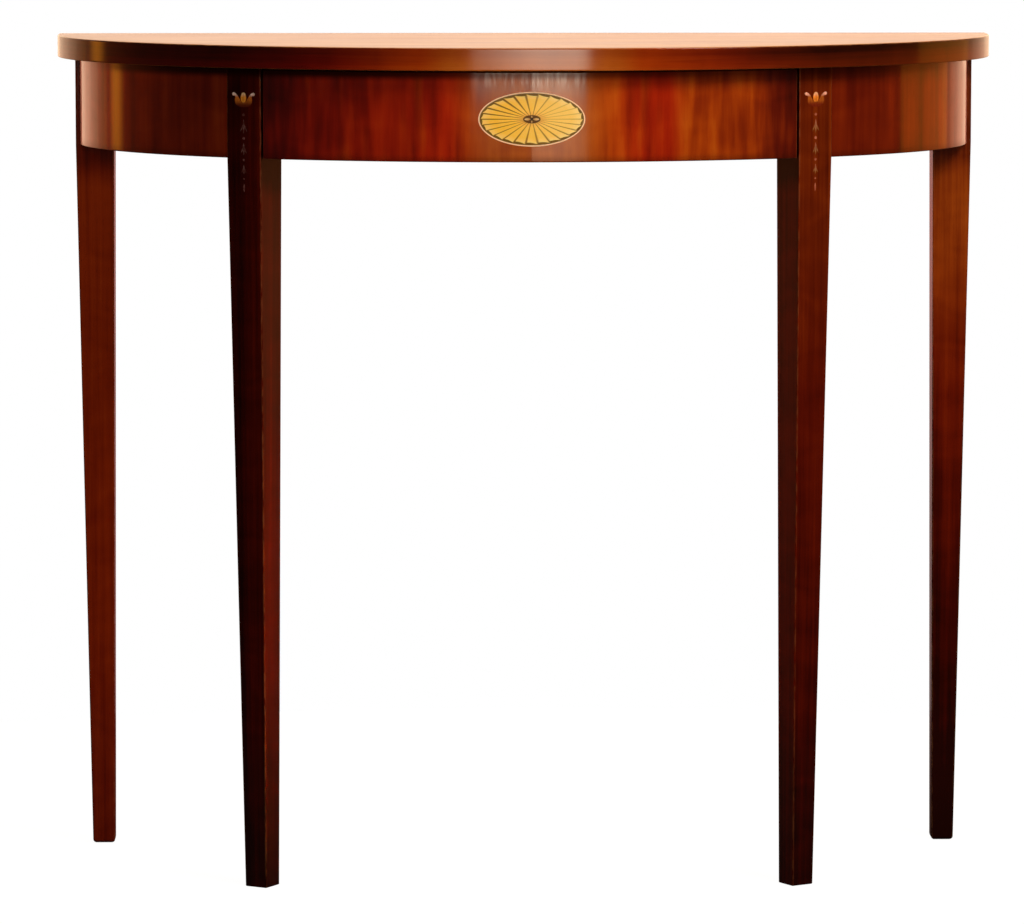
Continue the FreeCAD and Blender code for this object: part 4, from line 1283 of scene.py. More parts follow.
    @staticmethod
    def tulip(side: Side) -> InlayWood:
        """The right tulip's dye is redder, and the left one's paler.

        Args:
            side: the tulip's side.

        Returns:
            Its finish.
        """
        colours = {
            Side.LEFT: {"tip": (0.94, 0.66, 0.60), "body": (0.66, 0.17, 0.02),
                        "foot": (0.10, 0.012, 0.002), "buds": ((0.95, 0.32, 0.03), (0.95, 0.58, 0.32))},
            Side.RIGHT: {"tip": (0.92, 0.40, 0.26), "body": (0.40, 0.085, 0.006),
                         "foot": (0.16, 0.012, 0.001), "buds": ((0.85, 0.22, 0.018), (0.95, 0.42, 0.20))}}
        return InlayWood(f"tulip_{side.word}_wood", mottled=0.9, fleck=500.0, worn=0.2, **colours[side])

    @staticmethod
    def husk(side: Side) -> InlayWood:
        """The left chain of husks is nearly worn away, and it and the mahogany showing through are darker
        with its leg's painted shade.

        Args:
            side: the chain's side.

        Returns:
            Its finish.
        """
        colours = {
            Side.LEFT: {"tip": (0.10, 0.05, 0.045), "body": (0.13, 0.055, 0.05),
                        "foot": (0.17, 0.075, 0.07), "buds": ((0.17, 0.07, 0.065),) * 2,
                        "worn": 0.85, "ground": (0.06, 0.005, 0.001)},
            Side.RIGHT: {"tip": (0.20, 0.075, 0.014), "body": (0.30, 0.11, 0.035),
                         "foot": (0.42, 0.12, 0.06), "buds": ((0.46, 0.12, 0.06),) * 2,
                         "worn": 0.5, "ground": (0.20, 0.02, 0.001)}}
        return InlayWood(f"husk_{side.word}_wood", mottled=0.7, fleck=500.0, **colours[side])


# ---------------------------------------------------------------- placing pieces
def place_piece(name: str, form: Form, material: bpy.types.Material, stands_for: Sequence[str],
                body: str = "table", more_materials: Sequence[bpy.types.Material] = ()) -> bpy.types.Object:
    """Put a new piece in the scene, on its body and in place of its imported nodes.

    Args:
        name: the piece's name.
        form: its points and faces.
        material: its finish.
        stands_for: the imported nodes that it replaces.
        body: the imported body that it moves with.
        more_materials: further finishes, for faces that are given them later.

    Returns:
        The new object.
    """
    piece = bpy.data.objects.new(name, to_mesh(name, form))
    bpy.context.scene.collection.objects.link(piece)
    for each in (material, *more_materials):
        piece.data.materials.append(each)
    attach(piece, body)
    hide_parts(*stands_for)
    log.info("%s: %d points on %s, in place of %s", name, len(piece.data.vertices), body,
             ", ".join(stands_for))
    return piece


def dress_nodes(names: Sequence[str], material: bpy.types.Material) -> None:
    """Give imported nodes, whose shape is right, their finish."""
    for name in names:
        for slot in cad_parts[name].material_slots:
            slot.material = material
        log.info("%s: dressed with %s", name, material.name)


def both_sides(*names: str) -> list[str]:
    """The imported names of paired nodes."""
    return [name + "_" + side.word for name in names for side in (Side.RIGHT, Side.LEFT)]


# ---------------------------------------------------------------- the top
@dataclass(frozen=True)
class Top:
    """The half-oval top board with its eased edges."""
    upper_round: float = 1.4 * MM
    lower_round: float = 0.6 * MM
    hold: float = 0.8 * MM           # flat strip beside a rounding, which ends its shading
    rub: float = 0.8                 # wear of the upper edge; its pale rubbed spots are also a painted highlight
    edge_slope: float = math.radians(50)             # a face steeper than this belongs to the edge
    round_rows: int = 7
    face_rows: int = 8
    oval_points: int = 260
    side_points: int = 5
    back_points: int = 60

    def outline(self) -> tuple[np.ndarray, np.ndarray]:
        """The board's outline seen from above, anticlockwise, and at each point the way out of the board.

        The front is the half oval, the ends and the back are straight.  A corner's way out is the sum of
        its two sides', so that an inset corner stays on its mitre.
        """
        angle = np.linspace(-math.pi / 2, math.pi / 2, self.oval_points)
        half, centre, back = SIZES.rim.half_width, SIZES.rim.centre_y, SIZES.back_y
        up = np.linspace(centre, back, self.side_points + 2)[1:-1]
        across = np.linspace(half, -half, self.back_points + 2)[1:-1]
        straight = [(pairs(half, up), (1.0, 0.0)), (np.array([(half, back)]), (1.0, 1.0)),
                    (pairs(across, back), (0.0, 1.0)), (np.array([(-half, back)]), (-1.0, 1.0)),
                    (pairs(-half, up[::-1]), (-1.0, 0.0))]
        ways = [np.tile(way, (len(points), 1)) for points, way in straight]
        return (np.vstack([SIZES.rim.plan(angle)] + [points for points, _ in straight]),
                np.vstack([SIZES.rim.outward(angle)] + ways))

    def form(self) -> Form:
        """Rings from the middle of the upper face, out over the rounded edge, down, and in under the board.

        A ring is the outline, drawn in by the rounding, then shrunk to a share of its size about the
        middle.  The map is height, and length along the outline.
        """
        outline, way_out = self.outline()
        middle = np.array((0.0, (SIZES.back_y + SIZES.rim.centre_y - SIZES.rim.depth) / 2))
        upper_in, upper_drop = round_steps(self.upper_round, self.round_rows)
        lower_in, lower_drop = round_steps(self.lower_round, self.round_rows)
        inside = np.concatenate([upper_in[::-1], (0.0, 0.0), lower_in])
        height = np.concatenate([SIZES.top_z - upper_drop[::-1],
                                 (SIZES.top_z - self.upper_round - self.hold,
                                  SIZES.frieze_top + self.lower_round + self.hold),
                                 SIZES.frieze_top + lower_drop])
        wear = np.concatenate([self.rub * (upper_drop[::-1] < self.upper_round),
                               np.zeros(self.round_rows + 2)])
        face = np.linspace(0, 1, self.face_rows)[:-1]
        share = np.concatenate([face, np.ones(len(inside)), face[::-1]])[:, None, None]
        inside, height = (np.pad(values, len(face), mode="edge") for values in (inside, height))
        plan = middle + (outline - way_out * inside[:, None, None] - middle) * share
        form = lathe_skin(raised(plan, height[:, None]), np.pad(wear, len(face)))
        steps = np.linalg.norm(np.roll(outline, -1, axis=0) - outline, axis=1)
        along = np.tile(np.concatenate([[0.0], np.cumsum(steps)[:-1]]), len(height))
        return replace(form, uv=pairs(form.points[:, 2], along))

    def build(self, finishes: Finishes) -> None:
        """Build the top, whose steep faces are its edge.

        Args:
            finishes: the table's materials.
        """
        piece = place_piece("polished_top", self.form(), finishes.top, ["top_board"],
                            more_materials=[finishes.rim])
        upright = np.zeros(len(piece.data.polygons) * 3, np.float32)
        piece.data.polygons.foreach_get("normal", upright)
        is_edge = np.abs(upright.reshape(-1, 3)[:, 2]) < math.sin(self.edge_slope)
        piece.data.polygons.foreach_set("material_index", is_edge.astype(np.int32))
        dress_nodes(["top_screws"], finishes.steel)


# ---------------------------------------------------------------- legs and their inlay
@dataclass(frozen=True)
class LegShape:
    """A square leg that tapers below the frieze, with rounded arrises and an eased foot."""
    foot_width: float
    foot_ease: float
    foot_in: float                   # middle of the foot, in towards the table's middle
    arris: float = 1.0 * MM
    hold: float = 0.6 * MM           # flat strip beside an arris, which ends its shading
    corner_points: int = 6
    ease_rows: int = 5
    long_rows: int = 14

    def section(self, half: np.ndarray) -> np.ndarray:
        """Rounded squares, anticlockwise, one for each half width.

        Each corner is a quarter circle between two points that lie hold away on the flats.

        Args:
            half: the half widths.

        Returns:
            The points (x, y), of shape (squares, points, 2).
        """
        turn = np.linspace(0, math.pi / 2, self.corner_points)
        quarter = pairs(np.cos(turn), np.sin(turn))
        quarter = np.vstack([(1.0, -self.hold / self.arris), quarter, (-self.hold / self.arris, 1.0)])
        rings = []
        for spin in range(4):
            spun = turned(spin * math.pi / 2)
            core = np.array((1.0, 1.0)) @ spun
            rings.append((half - self.arris)[:, None, None] * core + self.arris * quarter @ spun)
        return np.concatenate(rings, axis=1)

    def form(self, centre: np.ndarray, turn: float) -> Form:
        """The leg at its place: sections from the frieze's top down to the foot, closed at both ends.

        Args:
            centre: its middle in plan.
            turn: the angle that it is turned by, anticlockwise.

        Returns:
            The closed form.
        """
        bottom, top = SIZES.frieze_bottom, SIZES.frieze_top
        ease_up, ease_in = round_steps(self.foot_ease, self.ease_rows)
        taper = np.linspace(bottom, self.foot_ease, self.long_rows)
        heights = np.concatenate([[top, bottom + self.hold], taper, ease_up[-2::-1]])
        lack = np.concatenate([np.zeros(2 + len(taper)), ease_in[-2::-1]])
        below = np.clip(1 - heights / bottom, 0, 1)
        half = SIZES.leg_half - (SIZES.leg_half - self.foot_width / 2) * below - lack
        rings = self.section(half) @ turned(turn) + centre + pairs(-self.foot_in * below, 0.0)[:, None]
        solid = raised(rings, heights[:, None])
        caps = [np.broadcast_to(solid[k].mean(axis=0), solid[k].shape)[None] for k in (0, -1)]
        column = np.zeros(self.corner_points + 2)
        column[1:-1] = 1.0
        wear = np.tile(np.tile(column, 4), (len(solid) + 2, 1))
        return lathe_skin(np.concatenate([caps[0], solid, caps[1]]), wear)

    def face_place(self, grid: np.ndarray, lift: float) -> np.ndarray:
        """Points of the right front leg's face, lifted off it.

        The face lies half a leg's width in front of the leg's middle, less the taper, and leans with the
        foot.

        Args:
            grid: the points, as (across, height).
            lift: how far they are lifted.

        Returns:
            The points in space.
        """
        across, height = grid[..., 0], grid[..., 1]
        below = np.clip(1 - height / SIZES.frieze_bottom, 0, 1)
        half = SIZES.leg_half - (SIZES.leg_half - self.foot_width / 2) * below
        out = half - self.foot_in * below * SIZES.leg_front[0] + lift
        plan = SIZES.front_leg + across[..., None] * SIZES.leg_side + out[..., None] * SIZES.leg_front
        return raised(plan, height)


FRONT_LEG = LegShape(foot_width=22.3 * MM, foot_ease=0.9 * MM, foot_in=4.0 * MM)
BACK_LEG = LegShape(foot_width=20.5 * MM, foot_ease=3.5 * MM, foot_in=3.0 * MM)


@dataclass(frozen=True)
class LegInlay:
    """The tulip and the chain of husks on a front leg, each a thin plate just proud of the polish."""
    tulip_top: float                 # height above the floor
    tulip_foot: float
    tulip_width: float = 24 * MM
    bud_width: float = 5.8 * MM
    bud_height: float = 9.4 * MM
    chain_start: float = 6.8 * MM    # from the tulip's foot to the first dot
    dot: float = 2.6 * MM
    husk_lengths: tuple[float, ...] = (13 * MM, 11.5 * MM, 9 * MM)
    husk_pitch: float = 7.8 * MM     # room that a dot takes between two husks
    leaf_width: float = 2.1 * MM
    side_leaf_width: float = 1.2 * MM
    side_start: float = 0.28         # where side leaves spring from, as a share of the middle leaf
    side_length: float = 0.64        # as a share of the middle leaf
    spread: float = math.radians(25)
    drop_length: float = 8 * MM
    drop_width: float = 1.9 * MM
    drop_map: float = 1.02           # gives the drop the dots' colour
    proud: float = 0.05 * MM
    thickness: float = 0.6 * MM
    steps: int = 15
    edge_points: int = 43

    # A petal's inner and outer edge, in shares of half the tulip's width and of its height.
    HOLLOW = ((0, 0.35), (0.20, 0.38), (0.32, 0.52), (0.44, 0.69), (0.56, 0.82), (0.70, 0.94), (0.87, 1.0),
              (0.97, 0.95))
    ROUND = ((0, 0), (0.44, 0.06), (0.70, 0.26), (0.75, 0.52), (0.70, 0.69), (0.80, 0.77), (0.93, 0.78),
             (1.0, 0.90))

    def plate(self, grid: np.ndarray, up: np.ndarray, wrap: bool = False) -> Form:
        """A plate whose front is a grid of (across, height) on the leg's face.

        Args:
            grid: points of shape (rows, columns, 2).
            up: share from foot to tip, of shape (rows, columns).
            wrap: true where the last column meets the first.

        Returns:
            The closed plate.
        """
        front = FRONT_LEG.face_place(grid, self.proud)
        back = FRONT_LEG.face_place(grid, self.proud - self.thickness)
        uv = pairs(grid[..., 0] / self.tulip_width, up)
        return sheet_shell(front, back, uv, np.zeros(grid.shape[:2]), wrap)

    def leaf(self, foot: Span, tip: Span, width: float, map_from: float = 0.0) -> Form:
        """A pointed leaf, whose map runs up from map_from at its foot."""
        grid, up = pointed_leaf(np.array(foot), np.array(tip), width, self.steps)
        return self.plate(grid, up + map_from)

    def oval(self, height: float, width: float, length: float) -> Form:
        """An oval of rings about a height, whose map runs from 1 at its foot to 2 at its top."""
        turn = whole_turn(2 * self.steps)
        rim = pairs(np.cos(turn) * width / 2, np.sin(turn) * length / 2)
        grid = (0.0, height) + rim[None] * np.linspace(0, 1, 4)[:, None, None]
        return self.plate(grid, 1.5 + (grid[..., 1] - height) / length, wrap=True)

    def tulip_side(self) -> Form:
        """The right petal: rows from its inner edge to its outer edge, from foot to curled lip."""
        inner, outer = (smooth_through(edge, self.edge_points) for edge in (self.HOLLOW, self.ROUND))
        grid = between(inner, outer, np.linspace(0, 1, LEAF_ROWS))
        height = self.tulip_foot + grid[..., 1] * (self.tulip_top - self.tulip_foot)
        return self.plate(pairs(grid[..., 0] * self.tulip_width / 2, height), grid[..., 1])

    def tulip(self) -> Form:
        """Bud and two petals, of which the left is the right one mirrored about the leg's middle."""
        petal = self.tulip_side()
        bud = self.oval(self.tulip_top - self.bud_height / 2, self.bud_width, self.bud_height)
        across = (petal.points[:, :2] - SIZES.front_leg) @ SIZES.leg_side
        mirrored = petal.points.copy()
        mirrored[:, :2] -= 2 * across[:, None] * SIZES.leg_side
        return joined([petal, replace(petal, points=mirrored, faces=petal.faces[:, ::-1]), bud])

    def husk(self, top: float, length: float) -> list[Form]:
        """A middle leaf and two side leaves.

        Args:
            top: the height that they hang from.
            length: the middle leaf's length.

        Returns:
            The three leaves.
        """
        leaves = [self.leaf((0, top), (0, top - length), self.leaf_width)]
        start = top - self.side_start * length
        for lean in (-self.spread, self.spread):
            reach = self.side_length * length
            tip = (reach * math.sin(lean), start - reach * math.cos(lean))
            leaves.append(self.leaf((0, start), tip, self.side_leaf_width))
        return leaves

    def chain(self) -> Form:
        """Dots and husks in turn, and a last drop."""
        height = self.tulip_foot - self.chain_start
        forms = [self.oval(height, self.dot, self.dot)]
        height -= self.husk_pitch / 2
        for length in self.husk_lengths:
            forms += self.husk(height, length)
            height -= length + self.husk_pitch / 2
            size = self.dot * length / self.husk_lengths[0]
            forms.append(self.oval(height, size, size))
            height -= self.husk_pitch / 2
        drop = self.leaf((0, height), (0, height - self.drop_length), self.drop_width, self.drop_map)
        return joined(forms + [drop])


class Legs:
    """Four tapered legs, the front two inlaid."""

    def build(self, finishes: Finishes) -> None:
        """Build the legs and their inlay.

        Args:
            finishes: the table's materials.
        """
        low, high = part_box("tulip_inlay_right")
        inlay = LegInlay(tulip_top=high.z, tulip_foot=low.z)
        front = FRONT_LEG.form(SIZES.front_leg, SIZES.leg_turn)
        back = BACK_LEG.form(SIZES.back_leg, 0.0)
        for side in Side:
            for name, node, form, material, slot in (
                    ("tapered_front_leg_", "front_leg_", front, finishes.legs[Row.FRONT, side], "mahogany"),
                    ("tapered_back_leg_", "back_leg_", back, finishes.legs[Row.BACK, side], "mahogany"),
                    ("tulip_", "tulip_inlay_", inlay.tulip(), finishes.tulips[side], "tulip_wood"),
                    ("husk_chain_", "husk_inlay_", inlay.chain(), finishes.husks[side], "husk_wood")):
                place_piece(name + side.word, form.on_side(side), material, [node + side.word])


# ---------------------------------------------------------------- side friezes
@dataclass(frozen=True)
class SideFrieze:
    """The bent veneer between a front leg and a back leg, with its lower edge eased."""
    thickness: float = 1.0 * MM
    edge_round: float = 0.6 * MM
    rub: float = 0.6                 # wear of its lower edge
    bend_rows: int = 90
    height_rows: int = 12
    round_rows: int = 5

    def form(self) -> Form:
        """A grid along the curve and up, rounded at its lower edge.

        Its map is length along the curve, and height.
        """
        outer, inner = SIZES.face, SIZES.face.inset(self.thickness)
        angle, inner_angle = (
            np.linspace(curve.angle_at(SIZES.front_leg, SIZES.leg_side, SIZES.leg_half),
                        curve.angle_at(np.zeros(2), np.array((0.0, 1.0)), SIZES.band_back), self.bend_rows)
            for curve in (outer, inner))
        low, high = SIZES.frieze_bottom, SIZES.frieze_top
        inside, _ = round_steps(self.edge_round, self.round_rows)
        height = np.concatenate([low + inside,
                                 np.linspace(low + 2 * self.edge_round, high, self.height_rows)])
        size = self.bend_rows, len(height)
        drop = np.broadcast_to(edge_drop(height - low, self.edge_round, self.edge_round), size)
        front = outer.plan(angle)[:, None] - outer.outward(angle)[:, None] * drop[..., None]
        back = np.broadcast_to(inner.plan(inner_angle)[:, None], (*size, 2))
        uv = pairs(outer.length(angle)[:, None], height)
        return sheet_shell(raised(front, height), raised(back, height), uv,
                           self.rub * rounded(drop, self.edge_round))

    def build(self, finishes: Finishes) -> None:
        """Build both veneers and dress what is behind them."""
        for side in Side:
            place_piece("bent_veneer_" + side.word, self.form().on_side(side), finishes.bands[side],
                        ["side_veneer_" + side.word])
        dress_nodes(both_sides("side_frieze"), finishes.deal_along)


# ---------------------------------------------------------------- the drawer and its fan
def on_drawer(grid: np.ndarray, depth: Number) -> np.ndarray:
    """Points on the drawer's bent front, some depth behind it, from their x and z."""
    angle = np.arcsin(grid[..., 0] / SIZES.face.half_width)
    plan = SIZES.face.plan(angle) - SIZES.face.outward(angle) * np.asarray(depth)[..., None]
    return raised(plan, grid[..., 1])


@dataclass(frozen=True)
class Fan:
    """The oval fan in the middle of the drawer front."""
    half_width: float
    half_height: float
    line: float = 1.1 * MM
    rays: int = 26
    point_margin: float = 0.7 * MM   # from the border line to the rays' long corners
    short_margin: float = 2.2 * MM   # from the border line to the rays' short corners
    eye_half_width: float = 7.75 * MM
    eye_half_height: float = 3.7 * MM
    tuck: float = 0.97               # where the rays start under the eye, as a share of its size
    star_leaf: float = 2.1 * MM
    star_pitch: float = 0.9 * MM
    slit: float = 0.08 * MM          # dark line that shows between two rays, on each side
    proud: float = 0.03 * MM         # each layer of the fan stands this much above the one under it
    thickness: float = 0.9 * MM
    rim_points: int = 208
    eye_points: int = 72
    ray_points: int = 9              # across a ray
    ray_rows: int = 24
    leaf_points: int = 13

    @classmethod
    def from_frame(cls) -> "Fan":
        """Read the fan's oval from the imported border."""
        low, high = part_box("fan_border")
        return cls((high.x - low.x) / 2, (high.z - low.z) / 2)

    def oval(self, turn: np.ndarray, half_width: Number, half_height: Number) -> np.ndarray:
        """Points (x, z) of an oval about the fan's middle."""
        return pairs(half_width * np.cos(turn), SIZES.fan_height + half_height * np.sin(turn))

    def rim(self, turn: np.ndarray, margin: Number) -> np.ndarray:
        """Points of the oval that lies margin inside the fan's edge."""
        return self.oval(turn, self.half_width - margin, self.half_height - margin)

    def plate(self, grid: np.ndarray, layer: int, uv: np.ndarray, wrap: bool = False) -> Form:
        """A bent plate; layer 0 is let into the veneer, and the others lie on the one below."""
        lift = layer * self.proud
        under = self.thickness if layer == 0 else 1.5 * self.proud - lift
        front, back = on_drawer(grid, -lift), on_drawer(grid, under)
        return sheet_shell(front, back, uv, np.zeros(grid.shape[:2]), wrap)

    def ring(self, inner: np.ndarray, outer: np.ndarray, layer: int, rows: int) -> Form:
        """A plate between two ovals of points; its map is the share of a turn, and of the way out."""
        shares = np.linspace(0, 1, rows)
        turn = np.linspace(0, 1, len(inner), endpoint=False)
        return self.plate(between(inner, outer, shares), layer, pairs(turn, shares[:, None]), wrap=True)

    def ray(self, number: int) -> Form:
        """One ray: rows from the eye to a hollow tip that falls from its long corner to its short one.

        Its tip is the parabola through the two corners and a point between them on the short corners' oval.

        Args:
            number: its number, anticlockwise from the right end.

        Returns:
            The ray's plate.
        """
        turns = np.array((number, number + 0.5, number + 1)) * math.tau / self.rays
        margins = np.array((self.short_margin, self.short_margin, self.point_margin)) + self.line
        corners = self.rim(turns, margins)
        roots = self.oval(turns, self.tuck * self.eye_half_width, self.tuck * self.eye_half_height)
        u = np.linspace(0, 1, self.ray_points)
        blends = np.stack([(1 - u) * (1 - 2 * u), 4 * u * (1 - u), u * (2 * u - 1)], -1)
        tip, root = blends @ corners, roots[0] + (roots[2] - roots[0]) * u[:, None]
        squeeze = self.slit / np.linalg.norm(tip[-1] - tip[0])
        narrowed = tip[0] + (tip - tip[0]) * (1 - 2 * squeeze) + (tip[-1] - tip[0]) * squeeze
        shares = np.linspace(0, 1, self.ray_rows)
        return self.plate(between(root, narrowed, shares), 1, pairs(number + 0.999 * u, shares[:, None]))

    def star_leaf_form(self, way: tuple[int, int]) -> Form:
        """One pale leaf of the star; the upright ones are half as wide."""
        foot = np.array(way) * self.star_pitch
        tip = np.array((self.eye_half_width - self.line, self.eye_half_height - self.line / 2)) * way
        grid, up = pointed_leaf(foot, tip, self.star_leaf * (1.0 if way[0] else 0.5), self.leaf_points)
        return self.plate(grid + (0.0, SIZES.fan_height), 3, pairs(0.0, up))

    def build(self, finishes: Finishes) -> None:
        """Build the fan's five kinds of wood.

        Args:
            finishes: the table's materials.
        """
        turn = whole_turn(self.rim_points)
        middle, inner, outer = self.oval(turn, 0.0, 0.0), self.rim(turn, self.line), self.rim(turn, 0.0)
        eye_turn = whole_turn(self.eye_points)
        eye = self.ring(self.oval(eye_turn, 0.0, 0.0),
                        self.oval(eye_turn, self.eye_half_width, self.eye_half_height), 2, 4)
        rays = joined([self.ray(number) for number in range(self.rays)])
        star = joined([self.star_leaf_form(way) for way in ((1, 0), (0, 1), (-1, 0), (0, -1))])
        for name, form, material, slot, node in (
                ("fan_line", self.ring(inner, outer, 0, 4), finishes.line, "boxwood", "fan_border"),
                ("fan_field", self.ring(middle, inner, 0, 24), finishes.field, "dyed_ground", "fan_ground"),
                ("fan_rays", rays, finishes.ray, "satinwood", "fan_petals"),
                ("fan_middle", eye, finishes.eye, "eye_wood", "fan_eye"),
                ("fan_leaves", star, finishes.star, "boxwood", "fan_star")):
            place_piece(name, form, material, [node], "drawer")


@dataclass(frozen=True)
class Drawer:
    """The drawer's bent front in two matched leaves, round the fan, and the plain box behind it."""
    gap: float = 2.0 * MM            # between the front and a leg
    thickness: float = 1.0 * MM
    edge_round: float = 0.8 * MM
    seam: float = 0.04 * MM          # half the hair line between the leaves
    field_rows: int = 40
    crowding: float = 1.3            # power that draws the field's rows towards the fan
    round_rows: int = 6
    long_points: int = 70
    short_points: int = 22

    def border(self, half: float, inside: float) -> np.ndarray:
        """The right leaf's border in (x, z), some way inside, anticlockwise from the seam's lower end."""
        low, high, right = SIZES.drawer_bottom + inside, SIZES.drawer_top - inside, half - inside
        across = np.linspace(self.seam, right, self.long_points)
        up = np.linspace(low, high, self.short_points)[1:-1]
        return np.vstack([pairs(across, low), pairs(right, up), pairs(across[::-1], high)])

    def leaf(self, fan: Fan) -> Form:
        """The right leaf: rows from the fan's oval out to the border, the last ones over its rounded arris.

        A row's point lies on the straight line from the fan's middle to the border, with x and z first
        divided by the oval's half width and half height.

        Args:
            fan: the fan that it is cut round.

        Returns:
            The closed form.
        """
        end = SIZES.face.angle_at(SIZES.front_leg, SIZES.leg_side, -SIZES.leg_half - self.gap)
        half = SIZES.face.half_width * math.sin(end)
        flat, outer = self.border(half, self.edge_round), self.border(half, 0.0)
        turn = np.arctan2((flat[:, 1] - SIZES.fan_height) / fan.half_height, flat[:, 0] / fan.half_width)
        hole = fan.rim(turn, 0.0)
        hole[[0, -1], 0] = self.seam
        inside, _ = round_steps(self.edge_round, self.round_rows)
        field = np.linspace(0, 1, self.field_rows) ** self.crowding
        grid = np.concatenate([between(hole, flat, field)[:-1],
                               between(flat, outer, 1 - inside[::-1] / self.edge_round)])
        to_edge = np.minimum(grid[..., 1] - SIZES.drawer_bottom, SIZES.drawer_top - grid[..., 1])
        drop = edge_drop(half - grid[..., 0], to_edge, self.edge_round)
        along = SIZES.face.length(np.arcsin(grid[..., 0] / SIZES.face.half_width))
        return sheet_shell(on_drawer(grid, drop), on_drawer(grid, self.thickness),
                           pairs(along, grid[..., 1]), rounded(drop, self.edge_round))

    def build(self, finishes: Finishes) -> None:
        """Build the leaves and the fan, and dress the box.

        Args:
            finishes: the table's materials.
        """
        fan = Fan.from_frame()
        for side in Side:
            place_piece("matched_leaf_" + side.word, self.leaf(fan).on_side(side), finishes.leaves[side],
                        ["drawer_veneer_" + side.word], "drawer")
        fan.build(finishes)
        dress_nodes(["drawer_front"], finishes.deal_along)
        dress_nodes(["drawer_back", "drawer_bottom"], finishes.lining_along)
        dress_nodes(both_sides("drawer_side"), finishes.lining_deep)
        dress_nodes(["drawer_bottom_pins"], finishes.steel)


class Carcase:
    """The plain timbers inside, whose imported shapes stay."""

    def build(self, finishes: Finishes) -> None:
        """Dress them, with the grain along each."""
        dress_nodes(["back_rail", "upper_tie_rail", "lower_tie_rail"] + both_sides("corner_brace"),
                    finishes.deal_along)
        dress_nodes(both_sides("drawer_runner", "drawer_guide", "drawer_kicker", "drawer_stop",
                               "leg_glue_block"), finishes.deal_deep)


# ---------------------------------------------------------------- floor, light and camera
@dataclass(frozen=True)
class Lamp:
    """A soft rectangular lamp that points at a place on the table."""
    name: str
    place: tuple[float, float, float]
    aim: tuple[float, float, float]
    width: float
    height: float
    power: float
    colour: Colour = (1.0, 1.0, 1.0)
    spread: float = 180.0            # degrees that its beam opens to

    def build(self) -> None:
        """Hang the lamp."""
        data = bpy.data.lights.new(self.name, "AREA")
        data.spread = math.radians(self.spread)
        data.shape, data.size, data.size_y = "RECTANGLE", self.width, self.height
        data.energy, data.color = self.power, self.colour
        lamp = bpy.data.objects.new(self.name, data)
        bpy.context.scene.collection.objects.link(lamp)
        lamp.location = self.place
        lamp.rotation_euler = (Vector(self.aim) - Vector(self.place)).to_track_quat("-Z", "Y").to_euler()
        lamp.visible_camera = False


